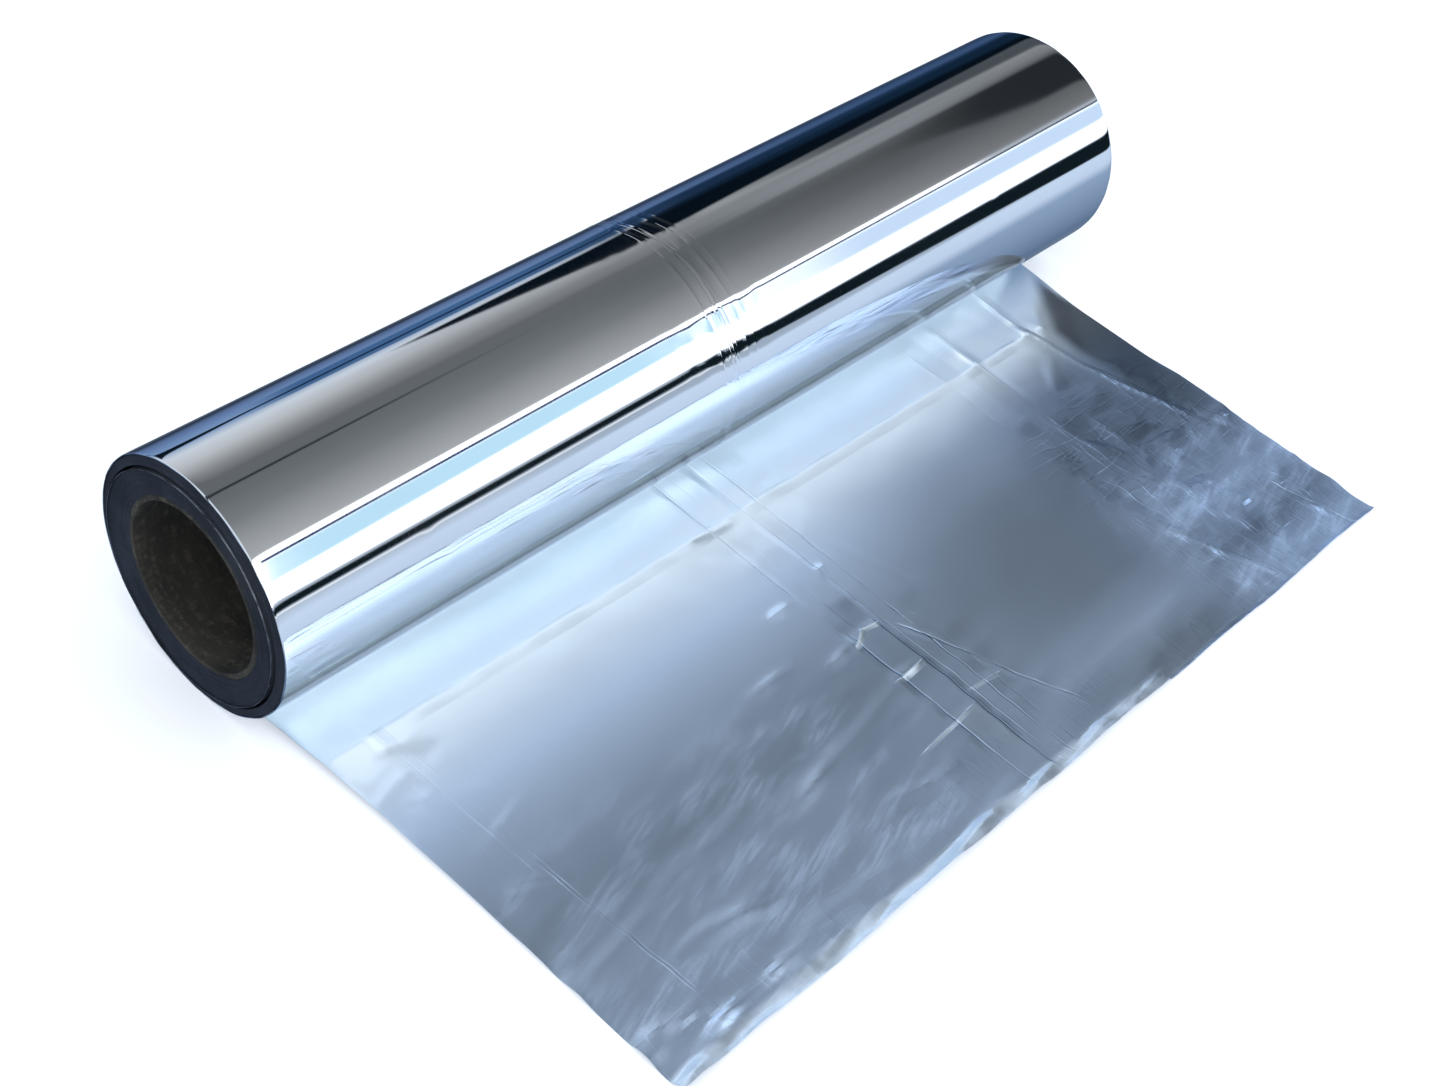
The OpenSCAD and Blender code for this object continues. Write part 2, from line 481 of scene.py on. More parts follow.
    @staticmethod
    def far_corner(w: Wiring, across: object, along: object) -> bpy.types.NodeSocket:
        """Gives the mask of the far back corner, which bends down out of the light and is given painted shade."""
        edge = w.math("MULTIPLY_ADD", w.math("MAXIMUM", w.math("ADD", along, 0.045), 0.0), 0.73, 0.121)
        return w.times(w.span(w.math("SUBTRACT", across, edge), -0.002, 0.004), w.span(along, -0.094, -0.072))

    def lip_mask(self, w: Wiring, across: object, along: object, start: float,
                 level: float) -> bpy.types.NodeSocket:
        """Gives the mask of the curled front edge, from start outwards, with its highest level."""
        return w.times(w.span(along, start, -0.1442, 0.0, level), w.span(across, *self.lip_across))

    def tint(self, w: Wiring, across: object, along: object, cloud: object, corner: object,
             crest: object) -> bpy.types.NodeSocket:
        """Gives the metal's colour, with painted highlights and painted shade in it.

        Args:
            w: Wiring of the material.
            across: Place across the sheet.
            along: Place along the sheet.
            cloud: Slow unevenness from 0 to 1.
            corner: Mask of the far back corner, which gets painted shade.
            crest: Height of all creases in millimetres, whose crests get a painted highlight and whose feet get
                painted shade.

        Returns:
            The colour.
        """
        # Painted shade: darker and bluer towards the right
        body = w.blend(w.span(across, 0.040, 0.105), w.blend(cloud, self.base, self.pale), self.right_painted_shade)
        lip = self.lip_mask(w, across, along, -0.1418, 0.7)
        # Painted light: lighter near the roll, and a painted highlight on the curled lip
        body = w.blend(w.math("MAXIMUM", w.span(along, -0.066, -0.040), lip), body, self.painted_highlight)
        # Painted shade on the far back corner, which bends out of the light
        body = w.blend(w.times(corner, 0.5), body, self.shade)
        # Painted highlight on the crease crests
        body = w.blend(w.math("MULTIPLY", w.math("SUBTRACT", crest, 0.04), 3.5, clamp=True), body, self.painted_highlight)
        # Painted shade in the crease feet
        return w.blend(w.math("MULTIPLY", w.math("SUBTRACT", -0.03, crest), 8.0, clamp=True), body, self.shade)

    def surface(self, w: Wiring, place: object, across: object, along: object,
                heights: list[bpy.types.NodeSocket]) -> bpy.types.NodeSocket:
        """Gives the normal: short ticks, rolling grain, brushed dents, and the creases on top.

        Args:
            w: Wiring of the material.
            place: Coordinates in metres.
            across: Place across the sheet.
            along: Place along the sheet.
            heights: Heights of the creases in millimetres.

        Returns:
            The normal.
        """
        wear = w.math("MAXIMUM", w.times(w.span(across, 0.055, 0.085), w.span(along, -0.050, -0.085)),
                      w.span(along, -0.118, -0.136, 0.0, 0.4))
        ticks = w.math("ADD", self.tick_lines(w, place, (0.16, 1.0, 1.0), 210.0),
                       self.tick_lines(w, place, (1.0, 0.16, 1.0), 240.0))
        normal = w.bump(w.times(ticks, wear), self.tick_depth_mm)
        front_middle = w.times(w.span(across, 0.0, 0.02), w.span(along, -0.08, -0.12))
        grain = w.noise(w.stretch(place, (1.0, 0.06, 1.0)), 1300.0, 2.0, 0.65)
        normal = w.bump(w.times(grain, w.span(front_middle, 0.0, 1.0, 1.0, 2.4)), self.grain_depth_mm, normal)
        brushed = w.times(w.noise(w.grain(place, 9.0, 0.14), 420.0, 3.0, 0.6),
                          w.span(along, -0.070, -0.105, 0.25, 0.8))
        dents = w.noise(place, 120.0, 2.0, 0.5)
        normal = w.bump(w.math("MULTIPLY_ADD", dents, 0.5, brushed), self.brushed_depth_mm, normal)
        for height in heights:
            normal = w.bump(height, self.crease_depth_mm, normal)
        return normal

    def crease_heights(self, w: Wiring, place: object) -> list[bpy.types.NodeSocket]:
        """Gives the height of all creases in millimetres, in three sums, worn down and strayed a little."""
        stray = w.add("ShaderNodeTexNoise", noise_dimensions="2D")
        w.feed(stray.inputs["Vector"], place)
        stray.inputs["Scale"].default_value = 70.0
        stray.inputs["Detail"].default_value = 1.0
        moved = w.add("ShaderNodeVectorMath", operation="ADD")
        w.feed(moved.inputs[0], place)
        moved.inputs[1].default_value = (-0.00035, -0.00035, 0.0)
        bent = w.add("ShaderNodeVectorMath", operation="MULTIPLY_ADD")
        w.feed(bent.inputs[0], stray.outputs["Color"])
        bent.inputs[1].default_value = (0.0007, 0.0007, 0.0)
        w.feed(bent.inputs[2], moved.outputs["Vector"])
        worn = w.span(w.noise(place, 55.0, 1.0, 0.6), 0.34, 0.62, 0.45, 1.15)
        sums = []
        for part in (self.pleats[::3], self.pleats[1::3], self.pleats[2::3]):
            total: object = 0.0
            for pleats in part:
                total = w.math("ADD", self.pleat_height(w, bent.outputs[0], pleats), total)
            sums.append(w.times(total, worn))
        return sums

    def worn_share(self, w: Wiring, place: object, across: object, along: object) -> bpy.types.NodeSocket:
        """Gives how worn and matt the foil is.

        Args:
            w: Wiring of the material.
            place: Coordinates in metres.
            across: Place across the sheet.
            along: Place along the sheet.

        Returns:
            The share by distance from the roll, with the rubbed patches and the lip added.
        """
        by_distance = w.lookup(w.math("DIVIDE", along, SHEET_FRONT * MM), self.worn_by_distance)
        columns = w.add("ShaderNodeSeparateColor")
        w.feed(columns.inputs[0], by_distance)
        share, middle, right = columns.outputs
        for passage, column in ((self.left_to_middle, middle), (self.middle_to_right, right)):
            side = w.span(across, *passage)
            share = w.math("MULTIPLY_ADD", side, w.math("SUBTRACT", column, share), share)
        streaks = w.span(w.noise(w.grain(place, 7.0, 0.30), 900.0, 2.0, 0.6), 0.36, 0.64, 0.35, 1.35)
        rubbed = w.times(w.span(w.noise(w.grain(place, 3.0, 0.24), 120.0, 2.0, 0.55), 0.42, 0.68), streaks)
        at_left = w.times(w.span(across, -0.026, -0.046), w.span(along, -0.074, -0.100), 0.22)
        at_right = w.times(w.span(across, 0.066, 0.086), w.span(along, -0.086, -0.104), 0.30)
        rubbed = w.times(rubbed, w.math("MAXIMUM", at_left, at_right))
        blotches = w.noise(w.stretch(place, (1.0, 0.3, 0.0)), 130.0, 2.0, 0.6)
        lip = w.times(self.lip_mask(w, across, along, -0.1420, 1.0), w.span(blotches, 0.34, 0.62, 0.02, 0.42))
        return w.math("ADD", w.math("ADD", share, rubbed), lip)

    @staticmethod
    def tick_lines(w: Wiring, place: object, scale: tuple[float, float, float],
                   size: float) -> bpy.types.NodeSocket:
        """Adds short fine creases that run one way: narrow where a stretched noise crosses its middle."""
        field = w.noise(w.stretch(place, scale), size, 2.0, 0.5)
        return w.span(w.math("ABSOLUTE", w.math("SUBTRACT", field, 0.5)), 0.0, 0.045, 1.0, 0.0)


@dataclass(frozen=True)
class WoundEdges:
    """The cut edges of hundreds of turns: dark blue-black, with fine lines that follow the spiral."""

    dark: Colour = tone("#1e2228")
    light: Colour = tone("#3a414d")
    line: Colour = tone("#14171c")
    turns: int = 60

    def build(self) -> bpy.types.Material:
        """Makes the material."""
        material, w, shader = new_finish("foil_wound_edges")
        across, around, _ = w.parts(w.add("ShaderNodeUVMap", uv_map="turns").outputs["UV"])
        thread = w.math("SUBTRACT", w.times(across, float(self.turns)), around)
        groove = w.math("PINGPONG", thread, 0.5)
        band = w.add("ShaderNodeTexNoise", noise_dimensions="1D")
        w.feed(band.inputs["W"], w.times(across, 26.0))
        band.inputs["Detail"].default_value = 4.0
        patch = w.noise(w.place(), 90.0, 3.0, 0.6)
        shade = w.math("MULTIPLY_ADD", w.math("SUBTRACT", patch, 0.5), 0.7, band.outputs["Fac"])
        body = w.blend(w.span(shade, 0.3, 0.75), self.dark, self.light)
        w.feed(shader.inputs["Base Color"], w.blend(w.span(groove, 0.0, 0.16, 0.75, 0.0), body, self.line))
        w.feed(shader.inputs["Roughness"], w.span(shade, 0.3, 0.7, 0.36, 0.52))
        w.feed(shader.inputs["Normal"], w.bump(groove, 0.05))
        shader.inputs["Metallic"].default_value = 0.35
        return material


@dataclass(frozen=True)
class BrightTurn:
    """The one turn that stands proud of the others and catches the light along its edge."""

    base: Colour = (0.80, 0.84, 0.90)

    def build(self) -> bpy.types.Material:
        """Makes the material."""
        material, w, shader = new_finish("foil_bright_turn")
        dull = w.noise(w.place(), 120.0, 3.0, 0.6)
        body = w.blend(w.span(dull, 0.35, 0.6), tuple(c * 0.25 for c in self.base), self.base)
        w.feed(shader.inputs["Base Color"], body)
        w.feed(shader.inputs["Roughness"], w.span(dull, 0.3, 0.7, 0.22, 0.4))
        shader.inputs["Metallic"].default_value = 1.0
        return material


@dataclass(frozen=True)
class SlackWall:
    """The foil's faces inside the open slack, which see little light: their dark colour is painted shade."""

    # Painted shade: foil this dark stands in for the shadow inside the slack
    base: Colour = (0.16, 0.18, 0.21)

    def build(self) -> bpy.types.Material:
        """Makes the material."""
        material, w, shader = new_finish("foil_slack_wall")
        body = w.blend(w.noise(w.place(), 200.0, 2.0, 0.5), self.base, tuple(c * 0.5 for c in self.base))
        w.feed(shader.inputs["Base Color"], body)
        shader.inputs["Metallic"].default_value = 0.8
        shader.inputs["Roughness"].default_value = 0.5
        return material


@dataclass(frozen=True)
class CoreCard:
    """Dull brown-black card with a short fibre grain and the faint spiral of its plies."""

    dark: Colour = tone("#1a1815")
    light: Colour = tone("#3a352d")
    fibre: Colour = tone("#5a5347")

    def build(self) -> bpy.types.Material:
        """Makes the material."""
        material, w, shader = new_finish("core_card")
        place = w.place()
        fibres = w.noise(w.stretch(place, (0.5, 1.0, 1.0)), 900.0, 4.0, 0.7)
        cross = w.noise(w.stretch(place, (1.0, 0.25, 0.25)), 700.0, 3.0, 0.65)
        cloud = w.noise(place, 60.0, 3.0, 0.5)
        body = w.blend(w.span(cloud, 0.3, 0.7), self.dark, self.light)
        body = w.blend(w.span(w.times(fibres, cross), 0.22, 0.42, 0.0, 0.6), body, self.fibre)
        w.feed(shader.inputs["Base Color"], body)
        w.feed(shader.inputs["Normal"], w.bump(w.math("ADD", fibres, cross), 0.08))
        shader.inputs["Roughness"].default_value = 0.85
        return material


# ------------------------------------------------------------------------ roll


class RollFace(IntEnum):
    """Which finish a face of the roll takes."""

    MIRROR = 0
    EDGES = 1
    BRIGHT = 2
    WALL = 3


@dataclass(frozen=True)
class Ring:
    """One ring of the roll's section: a circle about a shifted centre, some way along the roll."""

    x: float
    radius: float
    shift: float
    across: float
    face: RollFace


def select_only(obj: bpy.types.Object) -> None:
    """Makes an object the only selected one and the active one."""
    bpy.ops.object.select_all(action="DESELECT")
    obj.select_set(True)
    bpy.context.view_layer.objects.active = obj


def edit(obj: bpy.types.Object) -> None:
    """Enters an object's edit mode with all of it selected."""
    select_only(obj)
    bpy.ops.object.mode_set(mode="EDIT")
    bpy.ops.mesh.select_all(action="SELECT")


def leave_edit() -> None:
    """Returns to object mode."""
    bpy.ops.object.mode_set(mode="OBJECT")


def spun_profile(name: str, points: list[tuple[float, float]], axis_z: float, steps: int) -> bpy.types.Object:
    """Draws a closed profile point by point and spins it round the roll's axis.

    Args:
        name: Name of the new piece.
        points: Place along the roll and radius of each point, in millimetres.
        axis_z: Height of the roll's axis in millimetres.
        steps: Number of segments round the axis.

    Returns:
        The spun piece, with its doubles merged and its faces pointing outwards.
    """
    bpy.ops.object.select_all(action="DESELECT")
    bpy.ops.mesh.primitive_plane_add(size=MM)
    obj = bpy.context.object
    obj.name = obj.data.name = name
    edit(obj)
    bpy.ops.mesh.merge(type="CENTER")
    x, radius = points[0]
    bpy.ops.transform.translate(value=(x * MM, -radius * MM, axis_z * MM))
    for (x0, r0), (x1, r1) in zip(points, points[1:] + points[:1]):
        move = ((x1 - x0) * MM, -(r1 - r0) * MM, 0.0)
        bpy.ops.mesh.extrude_region_move(TRANSFORM_OT_translate={"value": move})
    bpy.ops.mesh.select_all(action="SELECT")
    bpy.ops.mesh.remove_doubles(threshold=1e-6)
    bpy.ops.mesh.select_all(action="SELECT")
    bpy.ops.mesh.spin(steps=steps, angle=2 * math.pi, center=(0.0, 0.0, axis_z * MM), axis=(1.0, 0.0, 0.0))
    bpy.ops.mesh.select_all(action="SELECT")
    bpy.ops.mesh.remove_doubles(threshold=1e-6)
    bpy.ops.mesh.normals_make_consistent(inside=False)
    leave_edit()
    return obj


def points_of(obj: bpy.types.Object) -> np.ndarray:
    """Reads a mesh's points in millimetres."""
    flat = np.empty(len(obj.data.vertices) * 3)
    obj.data.vertices.foreach_get("co", flat)
    return flat.reshape(-1, 3) / MM


def put_points(obj: bpy.types.Object, points: np.ndarray) -> None:
    """Writes a mesh's points, given in millimetres."""
    obj.data.vertices.foreach_set("co", (points * MM).ravel())
    obj.data.update()


@dataclass
class WoundRoll:
    """The wound foil: mirror outside, spiral ends with an open crescent of slack, flat underneath."""

    length: float = ROLL_LENGTH
    radius: float = ROLL_RADIUS
    seat: float = 22.4
    axis_z: float = AXIS_Z
    settle: float = math.radians(-50)
    pack_radius: float = 28.966
    pack_shift: float = 2.156
    slack_gap: float = 1.27
    touch_gap: float = 0.04
    gap_depth: float = 16.0
    pack_rings: int = 56
    wrap_rings: int = 16
    segments: int = 200
    bright_turn: float = 0.16

    def end_rings(self) -> list[Ring]:
        """Lists the rings of one end, from the core's seat out to the last wrap, at x = 0."""
        pack, shift, bright = self.pack_radius, self.pack_shift, self.bright_turn
        gap_radius = pack + (self.slack_gap + self.touch_gap) / 2
        gap_shift = shift - (self.slack_gap - self.touch_gap) / 2
        last = self.radius - 0.42
        rings: list[Ring] = []
        for i in range(self.pack_rings + 1):
            share = i / self.pack_rings
            radius = self.seat + share * (pack - bright - self.seat)
            rings.append(Ring(0.0, radius, share * shift, share, RollFace.EDGES))
        for x, inset, face in ((-0.22, bright * 0.7, RollFace.BRIGHT), (-0.22, bright * 0.25, RollFace.BRIGHT),
                               (0.05, 0.0, RollFace.WALL), (self.gap_depth * 0.4, 0.0, RollFace.WALL),
                               (self.gap_depth, 0.0, RollFace.WALL)):
            rings.append(Ring(x, pack - inset, shift, 1.0, face))
        for x in (self.gap_depth, self.gap_depth * 0.4):
            rings.append(Ring(x, gap_radius, gap_shift, 0.0, RollFace.WALL))
        for i in range(self.wrap_rings + 1):
            share = i / self.wrap_rings
            radius = gap_radius + share * (last - gap_radius)
            rings.append(Ring(0.0, radius, gap_shift * (1 - share), share * 0.4, RollFace.EDGES))
        for x, rise, face in ((3.0, 0.01, RollFace.WALL), (3.0, 0.14, RollFace.WALL),
                              (0.08, 0.15, RollFace.BRIGHT), (-0.02, 0.24, RollFace.BRIGHT),
                              (0.06, 0.36, RollFace.MIRROR)):
            rings.append(Ring(x, last + rise, 0.0, 0.4, face))
        return rings

    def outside_stations(self) -> list[float]:
        """Lists where the rings of the mirror outside stand, closer together at creases and ends."""
        half = self.length / 2
        ends = [0.25, 0.5, 0.8, 1.2, 1.7, 2.3, 3.1, 4.2, 5.6, 7.5, 10.0]
        stations = [-half + e for e in ends]
        x = stations[-1]
        while x < half - ends[-1] - 2.0:
            at_marks = -42.0 < x < 20.0 or 85.0 < x < 100.0 or -114 < x < -102
            x += 0.42 if -30.0 < x < 8.0 else 1.2 if at_marks else 3.4
            stations.append(min(x, half - ends[-1] - 1.5))
        return stations + [half - e for e in reversed(ends)]

    def rings(self) -> list[Ring]:
        """Lists all rings, from the seat's near end round the outside and back to the seat's far end."""
        near = [Ring(r.x - self.length / 2, r.radius, r.shift, r.across, r.face) for r in self.end_rings()]
        outside = [Ring(x, self.radius, 0.0, 0.4, RollFace.MIRROR) for x in self.outside_stations()]
        far: list[Ring] = []
        plain = self.end_rings()
        for i in range(len(plain) - 1, -1, -1):
            r = plain[i]
            face = plain[i - 1].face if i else RollFace.WALL
            far.append(Ring(self.length / 2 - r.x, r.radius, r.shift, r.across, face))
        return near + outside + far

    def outside_relief(self, x: np.ndarray, arc: np.ndarray, n: np.ndarray) -> np.ndarray:
        """Gives how far the mirror outside stands from a true cylinder.

        Args:
            x: Place along the roll in millimetres.
            arc: Place round the roll in millimetres.
            n: The same place as an angle in degrees, from the front upwards.

        Returns:
            Height above the cylinder in millimetres.
        """
        rise = 0.012 * drift(x, arc * 0.6, 60, 3) + 0.003 * drift(x, arc, 17, 4)
        for i, (place, width, height) in enumerate((
                (-14.2, 0.6, 0.045), (-11.6, 0.8, 0.030), (-9.9, 0.45, 0.090), (-8.6, 0.9, 0.035),
                (-5.2, 0.7, 0.045), (-2.4, 0.8, 0.025))):
            path = place + 0.7 * drift(arc, arc * 0, 16, 20 + i)
            strength = 0.55 + 0.6 * drift(arc, arc * 0 + 9, 9, 40 + i)
            rise += height * strength * np.exp(-np.abs(x - path) / width)
        crinkle = ramp(x, -30, -24) * ramp(x, 8, 1)
        rise += 0.032 * crinkle * drift(x, arc, 6.0, 7) * (0.2 + ramp(n, 24, 30) * ramp(n, 56, 46))
        for place, width, turn, spread, height in (
                (-108, 1.8, 25, 2.2, 0.05), (-103, 2.6, 12, 2.0, 0.05), (96, 0.9, 31, 2.0, 0.03)):
            rise += height * np.exp(-((x - place) / width) ** 2 - ((n - turn) / spread) ** 2)
        edge = self.length / 2 - np.abs(x)
        rise -= 0.10 * np.exp(-edge / 1.1)
        rise += 0.07 * np.exp(-edge / 1.6) * drift(arc, np.sign(x) * 7, 4.5, 11)
        return rise * ramp(n, -89, -70) * ramp(n, 269, 250)

    def build(self) -> bpy.types.Object:
        """Spins the roll, settles its pack to one side and works its surface.

        Returns:
            The finished roll.
        """
        rings = self.rings()
        profile = [(r.x, r.radius) for r in rings]
        obj = spun_profile("foil_roll", profile, self.axis_z, self.segments)
        places = points_of(obj)
        keys = {(round(r.x, 3), round(r.radius, 3)): i for i, r in enumerate(rings)}
        spread = np.hypot(places[:, 1], places[:, 2] - self.axis_z)
        index = np.array([self.nearest(keys, profile, x, r) for x, r in zip(places[:, 0], spread)])
        n = np.degrees(np.arctan2(places[:, 2] - self.axis_z, -places[:, 1]))
        n = np.where(n < -90, n + 360, n)
        self.dress_faces(obj, rings, index, n)
        self.work_surface(obj, rings, index, n, places, spread)
        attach(obj, "root")
        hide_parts("foil_web")
        return obj

    @staticmethod
    def nearest(keys: dict[tuple[float, float], int], profile: list[tuple[float, float]], x: float,
                r: float) -> int:
        """Finds the ring that a point was spun from."""
        found = keys.get((round(x, 3), round(r, 3)))
        if found is None:
            found = min(range(len(profile)), key=lambda i: abs(profile[i][0] - x) + abs(profile[i][1] - r))
        return found

    def work_surface(self, obj: bpy.types.Object, rings: list[Ring], index: np.ndarray, n: np.ndarray,
                     places: np.ndarray, spread: np.ndarray) -> None:
        """Moves the points: relief, settled pack, uneven turns and the flat underneath.

        Args:
            obj: The roll.
            rings: Its rings.
            index: Number of the ring that each point is on.
            n: Angle of each point in degrees, from the front upwards.
            places: The points in millimetres.
            spread: Distance of each point from the axis in millimetres.
        """
        shift = np.array([r.shift for r in rings])[index]
        across = np.array([r.across for r in rings])[index]
        face = np.array([int(r.face) for r in rings])[index]
        angle = np.radians(n)
        x, radius = places[:, 0].copy(), spread.copy()
        arc = angle * self.radius
        outside = radius > self.radius - 0.1
        radius[outside] += self.outside_relief(x[outside], arc[outside], n[outside])
        side = np.sign(x)
        ends = (np.abs(x) > self.length / 2 - 1.0) & ~outside
        turn = across * 14 - angle / (2 * math.pi)
        uneven = 0.10 * drift(turn * 2.0, turn * 0, 1.0, 5) + 0.16 * drift(across * 7, arc / 40, 1.0, 6)
        uneven += 0.05 * drift(across * 20, arc / 12, 1.0, 8)
        hollow = np.where(face == RollFace.EDGES, uneven + 0.16, 0.0)
        x[ends] -= (side * np.abs(hollow))[ends]
        bright = face == RollFace.BRIGHT
        x[bright & ends] -= (side * 0.12 * drift(arc / 9, arc * 0, 1.0, 9))[bright & ends]
        loose = ends & (radius > self.radius - 0.5)
        radius[loose] -= (0.10 * (1 + drift(arc / 14, side * 3.0, 1.0, 12)))[loose]
        y = -radius * np.cos(angle) + shift * math.cos(self.settle)
        z = self.axis_z + radius * np.sin(angle) + shift * math.sin(self.settle)
        z = np.maximum(z, 0.02)
        put_points(obj, np.column_stack([x, y, z]))

    def dress_faces(self, obj: bpy.types.Object, rings: list[Ring], index: np.ndarray, n: np.ndarray) -> None:
        """Gives each face its finish and the map that the fine turn lines follow.

        Args:
            obj: The roll.
            rings: Its rings.
            index: Number of the ring that each point is on.
            n: Angle of each point in degrees, from the front upwards.
        """
        mesh = obj.data
        for finish in (MirrorFoil(), WoundEdges(), BrightTurn(), SlackWall()):
            mesh.materials.append(finish.build())
        loops = np.empty(len(mesh.loops), int)
        mesh.loops.foreach_get("vertex_index", loops)
        starts = np.empty(len(mesh.polygons), int)
        mesh.polygons.foreach_get("loop_start", starts)
        spots = starts[:, None] + np.arange(4)
        corners = loops[spots]
        ring = index[corners]
        first = ring.min(axis=1)
        wraps = (ring.max(axis=1) - first) > 2
        first = np.where(wraps, len(rings) - 1, first)
        face = np.array([int(r.face) for r in rings])[first]
        face[wraps] = int(RollFace.WALL)
        mesh.polygons.foreach_set("material_index", face.astype(np.int32))
        around = (n[corners] + 90) / 360
        around = np.where(around.max(axis=1, keepdims=True) - around > 0.5, around + 1, around)
        across = np.array([r.across for r in rings])[ring]
        layer = mesh.uv_layers.new(name="turns")
        values = np.zeros((len(mesh.loops), 2))
        values[spots, 0] = across
        values[spots, 1] = around
        layer.data.foreach_set("uv", values.ravel().astype(np.float32))
        select_only(obj)
        bpy.ops.object.shade_smooth_by_angle(angle=math.radians(38))


# ----------------------------------------------------------------------- sheet


@dataclass(frozen=True)
class Fold:
    """A fold pressed into the sheet along a line: a ridge with a sharp crest that dies out at its ends.

    width is how far its front side reaches, and back how far its other side does, where it differs.
    """

    start: tuple[float, float]
    end: tuple[float, float]
    height: float
    width: float
    back: float = 0.0

    def rise(self, x: np.ndarray, y: np.ndarray, wander: np.ndarray) -> np.ndarray:
        """Gives the fold's height.

        Args:
            x: Place across the sheet of each point in millimetres.
            y: Place along the sheet of each point in millimetres.
            wander: How far the fold strays sideways at each point.

        Returns:
            Height above the sheet in millimetres.
        """
        (x0, y0), (x1, y1) = self.start, self.end
        length = math.hypot(x1 - x0, y1 - y0)
        ux, uy = (x1 - x0) / length, (y1 - y0) / length
        along = ((x - x0) * ux + (y - y0) * uy) / length
        away = (y - y0) * ux - (x - x0) * uy + wander
        fade = ramp(along, -0.02, 0.15) * ramp(along, 1.02, 0.85)
        side = np.where(away > 0, self.back or self.width, self.width)
        return fade * self.height * np.clip(1 - np.abs(away) / side, 0, 1)


